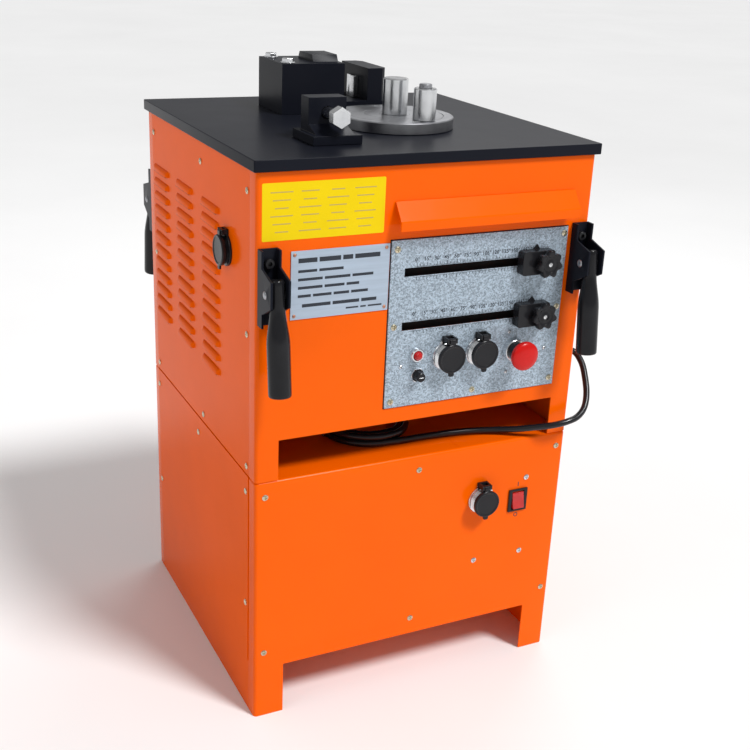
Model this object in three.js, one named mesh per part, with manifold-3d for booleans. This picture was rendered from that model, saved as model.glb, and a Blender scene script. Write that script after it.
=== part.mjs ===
// Portable electric rebar bender and cutter: a two-storey sheet steel cabinet with a
// bending disc and a shear head on its black table, angle stops on a front panel,
// four fold-up carrying handles, and the motor and gear train inside.
// Millimetres, +Z up, front facing -Y, origin on the floor under the middle.
import * as THREE from 'three';
import { mergeVertices } from 'three/addons/utils/BufferGeometryUtils.js';
import Module from 'manifold-3d';

const wasm = await Module();
wasm.setup();

// ---------------------------------------------------------------- driving dimensions

const gap = 0.3; // between pieces that touch
const runningFit = 0.4; // round a turning or sliding piece

// Cabinet
const cabinetWidth = 500;
const cabinetDepth = 480;
const baseHeight = 380;
const bodyHeight = 420;
const sheet = 2;
const bendRadius = 6;
const returnDepth = 24; // side flange of the front and back sheets
const baseLegWidth = 45;
const baseLegHeight = 81;
const bodyLegWidth = 33;
const bodyLegHeight = 59;
const tableThickness = 15;
const tableOverhang = 5;

// Control panel on the front
const panelWidth = 277;
const panelHeight = 238;
const panelInset = 36; // from the cabinet's right side
const panelRaise = 82.7; // from the upper cabinet's lower edge
const panelThickness = 2;
const slotRaises = [193, 117]; // from the panel's lower edge
const slotWidth = 12;
const sliderTravel = 184; // from the 180 degree mark to the 0 degree mark
const sliderInset = 54; // the 180 degree mark, from the panel's right edge
const slotEndRoom = 14; // right of the slider's stem at its 180 degree mark
// Fittings on the panel, from its lower left corner
const lampOnPanel = [45, 75];
const fuseOnPanel = [48, 45];
const socketsOnPanel = [[93, 68], [146, 68]];
const stopOnPanel = [202, 64];

// Nameplate, measured from the upper cabinet's left side and top
const nameplate = { inset: 46, drop: 102, width: 139, height: 91, thickness: 1 };

// Rain visor over the control panel, heights measured from the panel's top
const visor = { lip: 16, bend: 30, top: 52, out: 20, past: [-3, 5] };

// Angle stops
const sliderBlock = { left: -26, right: 26, height: 34, depth: 15, stemHalfLength: 18 };
const knobRadius = 20;
const knobOffset = 11; // from the block's middle

// Lower cabinet fittings, measured from its right side and top
const baseSocketIn = [141, 90];
const rockerIn = [76, 103];
const rockerFrame = { width: 32, height: 37, bodyWidth: 25, bodyHeight: 34 };

// Left side socket, measured from the front and the upper cabinet's top
const sideSocketIn = [111, 125];

// Flap-capped sockets
const socketRadius = 19;
const socketBodyRadius = 16;
const socketBore = 15;
const flangeRadius = 22;
const capRadius = 21;
const socketStand = 14;
const sideSocketStand = 7.5;
const socketBodyDepth = 26;
const capThickness = 5.5;
const hingePinRadius = 1.5;

// Emergency stop
const stopHeadRadius = 21;
const stopNeckRadius = 12;
const stopStand = 40;

// Transformer on the base floor
const transformer = { x: 120, y: -50, width: 90, depth: 120, height: 95, overhang: 15 };

// Carrying handles
const bracketInset = 1.5; // from the cabinet's side
const bracketWidth = 27;
const bracketSheet = 3;
const bracketHeight = 100;
const bracketDrop = 95; // from the upper cabinet's top
const pivotOut = 27;
const pivotDrop = 52; // from the bracket's top
const pivotRadius = 4;
const handleLength = 150;
const handleFit = 0.7; // each side, in its bracket
const handleGripRadius = 15;
const handleLean = 17; // how much further out the grip's end hangs

// Drive
const mainShaftAt = [30, -50];
const crankAt = [-50, 110];
const bullTeeth = 28;
const bullModule = 5;
const finalPinionTeeth = 9;
const secondGearTeeth = 30;
const secondModule = 4;
const secondPinionTeeth = 9;
const firstGearTeeth = 32;
const firstModule = 3;
const motorPinionTeeth = 9;
const gearWidth = 22;
const mainShaftRadius = 22;
const crankShaftRadius = 15;
const crankThrow = 14;
const gearboxDepth = 99;
const gearboxWall = 8;
const motorRadius = 52;
const motorLength = 190;

// Bending tools
const discRadius = 85;
const discThickness = 16;
const centrePinRadius = 18;
const toolHeight = 50;
const rollerRadius = 16;
const rollerPinRadius = 9;
const rollerAhead = 15.62; // right of the centre pin at rest
const spigotRadius = 10;
const barDiameter = 25; // thickest bar it takes

// Shear head
const headHeight = 73;
const headDepth = 96;
const throatWidth = 26.5;
const ramWidth = 30;
const ramHeight = 32;
const yokeWall = 10;
const crankPinRadius = 11;

// Mains cable
const cableRadius = 5;
const coilCentre = [-35, -128];
const coilMeanRadius = 55;
const coilWidth = 30;
const coilHeight = 20;
const glandThreadRadius = 9;
const glandReach = 20;
const glandInset = 55; // from the front
const glandRaise = 107.7; // from the upper cabinet's lower edge

// ---------------------------------------------------------------- worked-out places

const halfWidth = cabinetWidth / 2;
const halfDepth = cabinetDepth / 2;
const front = -halfDepth;
const bodyBottom = baseHeight + gap;
const bodyTop = baseHeight + bodyHeight;
const tableBottom = bodyTop + gap;
const tableTop = tableBottom + tableThickness;
const panelFace = front - gap - panelThickness;
const panelRight = halfWidth - panelInset;
const panelLeft = panelRight - panelWidth;
const panelBottom = bodyBottom + panelRaise;
const panelTop = panelBottom + panelHeight;
const onPanel = ([x, z]) => [panelLeft + x, panelBottom + z];
const lampAt = onPanel(lampOnPanel);
const fuseAt = onPanel(fuseOnPanel);
const socketsAt = socketsOnPanel.map(onPanel);
const stopAt = onPanel(stopOnPanel);
const slotHeights = slotRaises.map((raise) => panelBottom + raise);
const sliderAt = panelRight - sliderInset;
const slotFrom = sliderAt - sliderTravel - sliderBlock.stemHalfLength;
const slotTo = sliderAt + sliderBlock.stemHalfLength + slotEndRoom;
const baseSocketAt = [halfWidth - baseSocketIn[0], baseHeight - baseSocketIn[1]];
const rockerAt = [halfWidth - rockerIn[0], baseHeight - rockerIn[1]];
const sideSocketAt = [front + sideSocketIn[0], bodyTop - sideSocketIn[1]];
const handleAt = halfWidth - bracketInset - bracketWidth / 2;
const bracketTop = bodyTop - bracketDrop;
const bracketBottom = bracketTop - bracketHeight;
const pivotHeight = bracketTop - pivotDrop;
const handleTop = pivotHeight + 20;
const handleTopRadius = bracketWidth / 2 - bracketSheet - handleFit;
const glandAt = [halfWidth, front + glandInset, bodyBottom + glandRaise];

// ---------------------------------------------------------------- materials

const paint = (color, roughness = 0.35, metalness = 0) =>
  new THREE.MeshStandardMaterial({ color, roughness, metalness });
const orangePaint = paint(0xff6a00);
const blackPaint = paint(0x17181c, 0.4);
const blackPlastic = paint(0x1b1c1f, 0.45);
const galvanised = paint(0xb8c4d0, 0.45, 0.8);
const labelMetal = paint(0xc3d2e2, 0.4, 0.7);
const steel = paint(0xb9bbbd, 0.3, 1);
const toolSteel = paint(0x6d7075, 0.35, 1);
const castIron = paint(0x3a3c40, 0.7, 0.6);
const redPlastic = paint(0xe01a14, 0.3);
const copper = paint(0xb8703c, 0.4, 0.9);
const rubber = paint(0x141414, 0.6);

// ---------------------------------------------------------------- solid helpers

// A closed geometry as a solid that can be cut and joined.
function solid(geometry) {
  geometry.deleteAttribute('normal');
  geometry.deleteAttribute('uv');
  const merged = mergeVertices(geometry, 1e-4);
  return new wasm.Manifold(new wasm.Mesh({
    numProp: 3,
    vertProperties: new Float32Array(merged.attributes.position.array),
    triVerts: new Uint32Array(merged.index.array),
  }));
}

function box(x0, x1, y0, y1, z0, z1) {
  const geometry = new THREE.BoxGeometry(x1 - x0, y1 - y0, z1 - z0);
  geometry.translate((x0 + x1) / 2, (y0 + y1) / 2, (z0 + z1) / 2);
  return solid(geometry);
}

// Round bar along an axis ('x', 'y' or 'z'), from one place on it to another.
function rod(axis, radius, from, to, [x, y, z] = [0, 0, 0], sides = 20) {
  const geometry = new THREE.CylinderGeometry(radius, radius, to - from, sides);
  if (axis === 'x') geometry.rotateZ(-Math.PI / 2);
  if (axis === 'z') geometry.rotateX(Math.PI / 2);
  const middle = { x: 0, y: 0, z: 0, [axis]: (from + to) / 2 };
  geometry.translate(x + middle.x, y + middle.y, z + middle.z);
  return solid(geometry);
}

// Turned piece on the Y axis: the profile lists [radius, y] pairs from axis to axis.
function turned(profile, sides = 16) {
  const points = profile.map(([r, y]) => new THREE.Vector2(r, y));
  return solid(new THREE.LatheGeometry(points, sides));
}

// The same on the Z axis.
function turnedUp(profile, sides = 20) {
  const points = profile.map(([r, z]) => new THREE.Vector2(r, z));
  return solid(new THREE.LatheGeometry(points, sides).rotateX(Math.PI / 2));
}

function outline(points) {
  return new THREE.Shape(points.map(([a, b]) => new THREE.Vector2(a, b)));
}

function extrude(shape, depth, curveSegments = 6) {
  return new THREE.ExtrudeGeometry(shape, { depth, bevelEnabled: false, curveSegments });
}

// Outline in X and Y, raised from one height to another.
function prismUp(shape, z0, z1, curveSegments) {
  return solid(extrude(shape, z1 - z0, curveSegments).translate(0, 0, z0));
}

// Outline in X and Z, between two places on Y.
function prismBack(shape, y0, y1, curveSegments) {
  const geometry = extrude(shape, y1 - y0, curveSegments);
  return solid(geometry.rotateX(Math.PI / 2).translate(0, y1, 0));
}

// Outline in Y and Z, between two places on X.
function prismAcross(shape, x0, x1, curveSegments) {
  const geometry = extrude(shape, x1 - x0, curveSegments);
  return solid(geometry.rotateX(Math.PI / 2).rotateZ(Math.PI / 2).translate(x0, 0, 0));
}

const cut = (body, ...tools) => tools.reduce((left, tool) => left.subtract(tool), body);
const join = (body, ...others) => others.reduce((sum, other) => sum.add(other), body);

const machine = new THREE.Group();

function place(name, body, material, position = [0, 0, 0], turn = 0) {
  const { vertProperties, triVerts } = body.getMesh();
  const geometry = new THREE.BufferGeometry();
  geometry.setAttribute('position', new THREE.BufferAttribute(vertProperties, 3));
  geometry.setIndex(new THREE.BufferAttribute(triVerts, 1));
  const mesh = new THREE.Mesh(geometry, material);
  mesh.name = name;
  mesh.position.set(...position);
  mesh.rotation.z = turn;
  machine.add(mesh);
}

// ---------------------------------------------------------------- cabinet sheets

// Plan of a front or back sheet: a wide face with rounded bends and two side returns.
function trayPlan() {
  const shape = new THREE.Shape();
  const outer = bendRadius;
  const inner = bendRadius - sheet;
  const x = halfWidth;
  const y = front;
  shape.moveTo(-x, y + returnDepth);
  shape.lineTo(-x, y + outer);
  shape.absarc(-x + outer, y + outer, outer, Math.PI, 1.5 * Math.PI, false);
  shape.lineTo(x - outer, y);
  shape.absarc(x - outer, y + outer, outer, 1.5 * Math.PI, 2 * Math.PI, false);
  shape.lineTo(x, y + returnDepth);
  shape.lineTo(x - sheet, y + returnDepth);
  shape.lineTo(x - sheet, y + outer);
  shape.absarc(x - outer, y + outer, inner, 2 * Math.PI, 1.5 * Math.PI, true);
  shape.lineTo(-x + outer, y + sheet);
  shape.absarc(-x + outer, y + outer, inner, 1.5 * Math.PI, Math.PI, true);
  shape.lineTo(-x + sheet, y + returnDepth);
  return shape;
}

// A front sheet standing on two legs; a back sheet is the same one turned round.
function legTray(z0, z1, legWidth, legHeight) {
  const legGap = halfWidth - legWidth;
  const arch = box(-legGap, legGap, front - 1, front + returnDepth + 1, z0 - 1, z0 + legHeight);
  return cut(prismUp(trayPlan(), z0, z1, 3), arch);
}

function sidePanel(z0, z1) {
  const reach = halfDepth - returnDepth - gap;
  return box(-halfWidth, -halfWidth + sheet, -reach, reach, z0, z1);
}

function hole(radius, [x, z]) {
  return rod('y', radius, front - 10, front + 10, [x, 0, z]);
}

function controlHoles(slack) {
  const slots = slotHeights.map((z) =>
    box(slotFrom - slack, slotTo + slack, front - 10, front + 10,
      z - slotWidth / 2 - slack, z + slotWidth / 2 + slack));
  return [
    ...slots,
    hole(8 + slack, lampAt),
    hole(7 + slack, fuseAt),
    hole(stopNeckRadius + gap + slack, stopAt),
    ...socketsAt.map((at) => hole(socketBodyRadius + gap + slack, at)),
  ];
}

function buildCabinets() {
  const floorSpan = halfWidth - sheet - gap;
  const floorReach = halfDepth - sheet - gap;
  const baseFront = cut(legTray(0, baseHeight, baseLegWidth, baseLegHeight),
    hole(socketBodyRadius + gap, baseSocketAt), rockerHole());
  place('base_front_panel', baseFront, orangePaint);
  const baseBack = legTray(0, baseHeight, baseLegWidth, baseLegHeight);
  place('base_back_panel', baseBack, orangePaint, [0, 0, 0], Math.PI);
  place('base_left_panel', sidePanel(0, baseHeight), orangePaint);
  place('base_right_panel', sidePanel(0, baseHeight), orangePaint, [0, 0, 0], Math.PI);
  const deck = (z0, z1) => cut(box(-floorSpan, floorSpan, -floorReach, floorReach, z0, z1),
    ...cornerNotches(z0, z1));
  place('base_top_plate', deck(baseHeight - sheet, baseHeight), orangePaint);
  place('base_floor_plate', deck(baseLegHeight, baseLegHeight + sheet), orangePaint);
  const frontPanel = cut(legTray(bodyBottom, bodyTop, bodyLegWidth, bodyLegHeight),
    ...controlHoles(1));
  place('front_panel', frontPanel, orangePaint);
  const backPanel = legTray(bodyBottom, bodyTop, bodyLegWidth, bodyLegHeight);
  place('back_panel', backPanel, orangePaint, [0, 0, 0], Math.PI);
  const [sideY, sideZ] = sideSocketAt;
  const leftPanel = cut(sidePanel(bodyBottom, bodyTop),
    rod('x', socketBodyRadius + gap, -halfWidth - 5, -halfWidth + 5, [0, sideY, sideZ]));
  place('left_panel', leftPanel, orangePaint);
  const rightPanel = cut(sidePanel(bodyBottom, bodyTop),
    rod('x', glandThreadRadius + gap, -halfWidth - 5, -halfWidth + 5, [0, -glandAt[1], glandAt[2]]));
  place('right_panel', rightPanel, orangePaint, [0, 0, 0], Math.PI);
}

// Square notches that let a floor clear the rounded bends inside the corners.
function cornerNotches(z0, z1) {
  const notches = [];
  for (const x of [-halfWidth, halfWidth]) {
    for (const y of [-halfDepth, halfDepth]) {
      notches.push(box(x - bendRadius, x + bendRadius, y - bendRadius, y + bendRadius,
        z0 - 1, z1 + 1));
    }
  }
  return notches;
}

function buildTable() {
  const x = halfWidth + tableOverhang;
  const y = halfDepth + tableOverhang;
  const [mainX, mainY] = mainShaftAt;
  const [crankX, crankY] = crankAt;
  const plate = cut(box(-x, x, -y, y, tableBottom, tableTop),
    rod('z', mainShaftRadius + runningFit, tableBottom - 5, tableTop + 5, [mainX, mainY, 0]),
    rod('z', crankShaftRadius + runningFit, tableBottom - 5, tableTop + 5, [crankX, crankY, 0]));
  place('table_plate', plate, blackPaint);
}

// ---------------------------------------------------------------- front plates

function buildFrontPlates() {
  const y = front - gap;
  const panel = cut(box(panelLeft, panelRight, panelFace, y, panelBottom, panelTop),
    ...controlHoles(0));
  place('control_panel', panel, galvanised);
  const plateLeft = nameplate.inset - halfWidth;
  const plateTop = bodyTop - nameplate.drop;
  const plate = box(plateLeft, plateLeft + nameplate.width, y - nameplate.thickness, y,
    plateTop - nameplate.height, plateTop);
  place('nameplate', plate, labelMetal);
  const lip = panelTop + visor.lip;
  const bend = panelTop + visor.bend;
  const top = panelTop + visor.top;
  const out = y - visor.out;
  const profile = outline([
    [y, top], [y - sheet, top], [out, bend], [out, lip], [out + sheet, lip],
    [out + sheet, bend - 1], [y, top - 2 * sheet],
  ]);
  const [pastLeft, pastRight] = visor.past;
  place('visor', prismAcross(profile, panelLeft - pastLeft, panelRight + pastRight), orangePaint);
}

// ---------------------------------------------------------------- angle stops

function buildAngleStops() {
  const face = panelFace - gap;
  const blockFront = face - sliderBlock.depth;
  const stemHalf = (slotWidth - 0.8) / 2;
  const nutBack = front + sheet + gap;
  slotHeights.forEach((z, i) => {
    const half = sliderBlock.height / 2;
    const plate = box(sliderBlock.left, sliderBlock.right, blockFront, face, -half, half);
    const pointer = prismBack(outline([[-3, half - 1], [9, half - 1], [3, half + 7]]),
      face - 3, face);
    const stemLong = sliderBlock.stemHalfLength;
    const stem = box(-stemLong, stemLong, face - 1, nutBack + 1, -stemHalf, stemHalf);
    const nutHigh = stemHalf + 5.4;
    const nutPlate = box(-stemLong - 4, stemLong + 4, nutBack, nutBack + 4, -nutHigh, nutHigh);
    const bore = rod('y', 4 + gap, blockFront - 1, blockFront + 11, [knobOffset, 0, 0], 16);
    const block = cut(join(plate, pointer, stem, nutPlate), bore);
    const letter = 'ab'[i];
    place(`slider_block_${letter}`, block, blackPlastic, [sliderAt, 0, z]);
    place(`slider_knob_${letter}`, starKnob(blockFront - gap), blackPlastic,
      [sliderAt + knobOffset, 0, z]);
  });
}

// A seven-lobed clamping knob with its stud, its back face at y.
function starKnob(y) {
  const lobes = 7;
  const steps = 28;
  const shape = new THREE.Shape();
  for (let i = 0; i < steps; i += 1) {
    const angle = (i / steps) * 2 * Math.PI;
    const radius = knobRadius - 2.2 + 2.2 * Math.cos(lobes * angle);
    const point = [radius * Math.sin(angle), radius * Math.cos(angle)];
    if (i === 0) shape.moveTo(...point);
    else shape.lineTo(...point);
  }
  const star = prismBack(shape, y - 13, y - 3);
  const hub = rod('y', 12, y - 4, y);
  const stud = rod('y', 4, y - 1, y + 10, [0, 0, 0], 16);
  return join(star, hub, stud);
}

// ---------------------------------------------------------------- electrical fittings

// Small round fittings stand on the control panel and reach back through it.
function buildIndicators() {
  const y = -gap;
  const lamp = turned([[0, 14], [7, 14], [7, y], [10.5, y], [10.5, -4], [8.5, -7], [7.5, -7],
    [6.5, -11], [3.5, -13.5], [0, -14]].reverse());
  place('power_lamp', lamp, redPlastic, [lampAt[0], panelFace, lampAt[1]]);
  const fuse = turned([[0, 16], [6, 16], [6, y], [9.5, y], [9.5, -4], [7.5, -5], [7.5, -14],
    [6.5, -15], [0, -15]].reverse());
  place('fuse_holder', fuse, blackPlastic, [fuseAt[0], panelFace, fuseAt[1]]);
}

const hingeHeight = capRadius + 4;
const lugFrom = capRadius + 0.5;
const lugTo = hingeHeight + 4;

// Socket whose flange sits on a face at y = 0, its mouth facing -Y.
function flapSocket(stand) {
  const y = -gap;
  const body = turned([[0, socketBodyDepth], [socketBodyRadius, socketBodyDepth],
    [socketBodyRadius, y], [flangeRadius, y], [flangeRadius, y - 3], [socketRadius, y - 3],
    [socketRadius, -stand], [socketBore, -stand], [socketBore, 6],
    [0, 6]].reverse(), 20);
  const tab = box(-8, 8, y - 3, y, socketBore, lugTo);
  const lugs = [-8, 5].map((x) => box(x, x + 3, -stand - 2.5, y, lugFrom, lugTo));
  const pin = rod('x', hingePinRadius, -6, 6, [0, -stand, hingeHeight], 12);
  return join(body, tab, ...lugs, pin);
}

function flapCap(stand) {
  const y = -stand - gap;
  const disc = turned([[0, y], [capRadius, y], [capRadius, y - capThickness + 1.5],
    [capRadius - 2, y - capThickness], [0, y - capThickness]].reverse(), 24);
  const arm = box(-4.5, 4.5, y - 4, y, 12, hingeHeight);
  const eye = rod('x', 4, -4.5, 4.5, [0, -stand, hingeHeight], 16);
  const bore = rod('x', hingePinRadius + runningFit, -10, 10, [0, -stand, hingeHeight], 12);
  const pull = box(-4, 4, y - 4, y - 1, -capRadius - 5, -capRadius + 3);
  return cut(join(disc, arm, eye, pull), bore);
}

function buildSockets() {
  const spots = {
    panel_socket_a: [[socketsAt[0][0], panelFace, socketsAt[0][1]], 0],
    panel_socket_b: [[socketsAt[1][0], panelFace, socketsAt[1][1]], 0],
    base_socket: [[baseSocketAt[0], front, baseSocketAt[1]], 0],
    side_socket: [[-halfWidth, sideSocketAt[0], sideSocketAt[1]], -Math.PI / 2],
  };
  for (const [name, [position, turn]] of Object.entries(spots)) {
    const onSide = name === 'side_socket';
    const stand = onSide ? sideSocketStand : socketStand;
    place(name, flapSocket(stand), onSide ? blackPlastic : steel, position, turn);
    place(`${name}_cap`, flapCap(stand), blackPlastic, position, turn);
  }
}

function buildEmergencyStop() {
  const y = -gap;
  const stemRadius = 8;
  const collar = turned([[stemRadius + runningFit, y - 10], [16, y - 10], [17, y - 6], [17, y],
    [stopNeckRadius, y], [stopNeckRadius, 26], [stemRadius + runningFit, 26],
    [stemRadius + runningFit, y - 10]]);
  place('stop_collar', collar, steel, [stopAt[0], panelFace, stopAt[1]]);
  const head = stopStand - 12;
  const button = turned([[0, 10], [stemRadius, 10], [stemRadius, -head],
    [stopHeadRadius - 1, -head], [stopHeadRadius, -head - 2], [stopHeadRadius, -head - 7],
    [stopHeadRadius - 3, -head - 10.5], [stopHeadRadius - 8, -stopStand],
    [0, -stopStand]].reverse(), 24);
  place('stop_button', button, redPlastic, [stopAt[0], panelFace, stopAt[1]]);
}

function rockerHole() {
  const [x, z] = rockerAt;
  const w = rockerFrame.bodyWidth / 2 + gap;
  const h = rockerFrame.bodyHeight / 2 + gap;
  return box(x - w, x + w, front - 5, front + 5, z - h, z + h);
}

function buildRocker() {
  const { width, height, bodyWidth, bodyHeight: tall } = rockerFrame;
  const flange = box(-width / 2, width / 2, -3, -gap, -height / 2, height / 2);
  const body = box(-bodyWidth / 2, bodyWidth / 2, -1, 20, -tall / 2, tall / 2);
  const pocketX = bodyWidth / 2 - 2.1;
  const pocketZ = tall / 2 - 2;
  const pocket = box(-pocketX, pocketX, -5, 12, -pocketZ, pocketZ);
  const at = [rockerAt[0], front, rockerAt[1]];
  place('rocker_frame', cut(join(flange, body), pocket), blackPlastic, at);
  const tip = pocketZ - 2.5;
  const buttonX = pocketX - runningFit;
  const profile = outline([[-2.5, tip + 0.5], [-4.5, 0], [-7.5, -tip], [-2, -tip], [5, -4],
    [5, 4], [1, tip]]);
  place('rocker_button', prismAcross(profile, -buttonX, buttonX), redPlastic, at);
}

function buildTransformer() {
  const { x, y, width, depth, height, overhang } = transformer;
  const z = baseLegHeight + sheet + gap;
  const halfX = width / 2;
  const halfY = depth / 2;
  const core = box(x - halfX, x + halfX, y - halfY, y + halfY, z, z + height);
  const winding = box(x - halfX - overhang, x + halfX + overhang, y - halfY + 25, y + halfY - 25,
    z + 18, z + height - 17);
  const feet = box(x - halfX, x + halfX, y - halfY - 20, y + halfY + 20, z, z + 4);
  place('transformer', join(core, winding, feet), castIron);
}

// ---------------------------------------------------------------- carrying handles

// Folded bracket with its riveted pivot pin, against a wall at y = 0.
function handleBracket() {
  const half = bracketWidth / 2;
  const tip = -pivotOut - 19;
  const ear = outline([[0, bracketTop], [-14, bracketTop], [-14, bracketTop - 22],
    [tip, bracketTop - 31], [tip, pivotHeight - 13], [tip + 16, pivotHeight - 22],
    [-16, pivotHeight - 29], [-16, bracketBottom], [0, bracketBottom]]);
  const back = box(-half, half, -bracketSheet, -gap, bracketBottom, bracketTop);
  const ears = [-half, half - bracketSheet].map((x) =>
    cut(prismAcross(ear, x, x + bracketSheet), box(-half, half, -gap, 1, 0, bracketTop + 1)));
  const pin = rod('x', pivotRadius, -half - 1.2, half + 1.2, [0, -pivotOut, pivotHeight], 12);
  return join(back, ...ears, pin);
}

// Dipped tube handle: an eye round the pivot and a grip that widens as it hangs outwards.
function carryHandle() {
  const lean = Math.atan2(handleLean, handleLength);
  const points = [[0, 0], [handleTopRadius - 2, 0], [handleTopRadius, -4],
    [handleTopRadius, -43], [handleGripRadius - 1, -76], [handleGripRadius, -handleLength],
    [0, -handleLength]];
  const geometry = new THREE.LatheGeometry(
    points.reverse().map(([r, z]) => new THREE.Vector2(r, z)), 14);
  geometry.rotateX(Math.PI / 2 - lean).translate(0, -pivotOut - 4, handleTop);
  const eye = rod('x', 12, -handleTopRadius, handleTopRadius, [0, -pivotOut, pivotHeight], 14);
  const bore = rod('x', pivotRadius + runningFit, -30, 30, [0, -pivotOut, pivotHeight], 12);
  return cut(join(solid(geometry), eye), bore);
}

function buildHandles() {
  const corners = {
    front_left: [-handleAt, front, 0],
    front_right: [handleAt, front, 0],
    rear_left: [-handleAt, halfDepth, Math.PI],
    rear_right: [handleAt, halfDepth, Math.PI],
  };
  for (const [corner, [x, y, turn]] of Object.entries(corners)) {
    place(`handle_bracket_${corner}`, handleBracket(), blackPaint, [x, y, 0], turn);
    place(`carry_handle_${corner}`, carryHandle(), rubber, [x, y, 0], turn);
  }
}

// ---------------------------------------------------------------- gears

const pressureAngle = Math.PI / 9;
const backlash = 0.35; // at the pitch circle, for each gear
const involute = (angle) => Math.tan(angle) - angle;

// Spur gear outline whose first tooth points at the given phase.
function gearOutline(teeth, module, phase, addendum = 0.85) {
  const pitch = (teeth * module) / 2;
  const base = pitch * Math.cos(pressureAngle);
  const tip = pitch + addendum * module;
  const root = pitch - 1.2 * module;
  const halfTooth = (radius) => Math.PI / (2 * teeth) - backlash / (2 * pitch)
    + involute(pressureAngle) - involute(Math.acos(Math.min(1, base / radius)));
  const points = [];
  for (let i = 0; i < teeth; i += 1) {
    const middle = phase + (2 * Math.PI * i) / teeth;
    const side = [[root, halfTooth(base)], [pitch, halfTooth(pitch)], [tip, halfTooth(tip)]];
    for (const [r, a] of side) points.push([r, middle - a]);
    for (const [r, a] of side.reverse()) points.push([r, middle + a]);
  }
  return outline(points.map(([r, a]) => [r * Math.cos(a), r * Math.sin(a)]));
}

// Phase that puts a gap of the driven gear opposite a tooth of its partner.
function meshPhase(partnerTeeth, partnerPhase, teeth, direction) {
  const partnerTurn = partnerPhase - direction;
  return direction + Math.PI + Math.PI / teeth - (partnerTurn * partnerTeeth) / teeth;
}

function gear(teeth, module, phase, z0, z1, at, addendum) {
  const geometry = extrude(gearOutline(teeth, module, phase, addendum), z1 - z0);
  return solid(geometry.translate(at[0], at[1], z0));
}

const direction = (from, to) => Math.atan2(to[1] - from[1], to[0] - from[0]);
const step = ([x, y], angle, length) => [
  x + length * Math.cos(angle), y + length * Math.sin(angle)];

// The final pinion meshes with the main gear and the crank gear at once.
const finalCentres = (bullModule * (bullTeeth + finalPinionTeeth)) / 2 + 0.1;
const shaftSpan = Math.hypot(crankAt[0] - mainShaftAt[0], crankAt[1] - mainShaftAt[1]);
const pinionAngle = direction(mainShaftAt, crankAt) + Math.acos(shaftSpan / 2 / finalCentres);
const secondShaftAt = step(mainShaftAt, pinionAngle, finalCentres);
const secondCentres = (secondModule * (secondGearTeeth + secondPinionTeeth)) / 2 + 0.1;
const firstShaftAt = step(secondShaftAt, Math.PI * 1.12, secondCentres);
const firstCentres = (firstModule * (firstGearTeeth + motorPinionTeeth)) / 2 + 0.1;
const motorAt = step(firstShaftAt, Math.PI * 1.45, firstCentres);

const gearboxTop = bodyTop - gap;
const gearboxBottom = gearboxTop - gearboxDepth;
const floorTop = gearboxBottom + gearboxWall;
const shaftFoot = floorTop + gap;
const bullFrom = gearboxTop - 10 - gearWidth;
const bullTo = gearboxTop - 10;
const secondFrom = bullFrom - 8 - gearWidth;
const firstFrom = shaftFoot + 2;
const firstTo = secondFrom - 4;
const journalRadius = 8;

function journal([x, y]) {
  return rod('z', journalRadius, gearboxBottom + 1, shaftFoot + 1, [x, y, 0]);
}

function gearPhases() {
  const final = direction(secondShaftAt, mainShaftAt);
  const main = meshPhase(finalPinionTeeth, final, bullTeeth, final);
  const toCrank = direction(secondShaftAt, crankAt);
  const crank = meshPhase(finalPinionTeeth, final, bullTeeth, toCrank);
  const second = 0;
  const toFirst = direction(secondShaftAt, firstShaftAt);
  const firstPinion = meshPhase(secondGearTeeth, second, secondPinionTeeth, toFirst);
  const first = 0;
  const toMotor = direction(firstShaftAt, motorAt);
  const motor = meshPhase(firstGearTeeth, first, motorPinionTeeth, toMotor);
  return { final, main, crank, second, firstPinion, first, motor };
}

function buildGearTrain() {
  const phases = gearPhases();
  const first = join(
    gear(firstGearTeeth, firstModule, phases.first, firstFrom, firstTo, firstShaftAt),
    gear(secondPinionTeeth, secondModule, phases.firstPinion, firstTo - 1,
      secondFrom + gearWidth + 1, firstShaftAt),
    rod('z', 12, shaftFoot, firstTo, [...firstShaftAt, 0]),
    journal(firstShaftAt));
  place('first_gear_shaft', first, toolSteel);
  const second = join(
    gear(secondGearTeeth, secondModule, phases.second, secondFrom, secondFrom + gearWidth,
      secondShaftAt),
    gear(finalPinionTeeth, bullModule, phases.final, secondFrom + gearWidth - 1, bullTo + 1,
      secondShaftAt),
    rod('z', 12, shaftFoot, secondFrom + 1, [...secondShaftAt, 0]),
    journal(secondShaftAt));
  place('second_gear_shaft', second, toolSteel);
  place('main_shaft', mainShaft(phases.main), toolSteel);
  place('cutter_crankshaft', crankshaft(phases.crank), toolSteel);
}

function mainShaft(phase) {
  const [x, y] = mainShaftAt;
  const shaft = rod('z', mainShaftRadius, shaftFoot, tableTop + gap + discThickness, [x, y, 0]);
  const wheel = gear(bullTeeth, bullModule, phase, bullFrom, bullTo, mainShaftAt);
  const seat = rod('z', spigotRadius + gap, tableTop + discThickness - 24,
    tableTop + discThickness + 5, [x, y, 0]);
  return cut(join(shaft, wheel, journal(mainShaftAt)), seat);
}

const webFrom = tableTop + 1;
const webTo = webFrom + 16;
const ramFrom = webTo + 1;
const ramTo = ramFrom + ramHeight;
const crankPinAt = [crankAt[0] - crankThrow, crankAt[1]];
const webRadius = crankThrow + crankPinRadius + 2;

function crankshaft(phase) {
  const [x, y] = crankAt;
  const shaft = rod('z', crankShaftRadius, shaftFoot, webFrom + 1, [x, y, 0]);
  const wheel = gear(bullTeeth, bullModule, phase, bullFrom, bullTo, crankAt);
  const web = rod('z', webRadius, webFrom, webTo, [x, y, 0]);
  const pin = rod('z', crankPinRadius, webTo - 1, ramTo - 1, [...crankPinAt, 0]);
  return join(shaft, wheel, web, pin, journal(crankAt));
}

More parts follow.
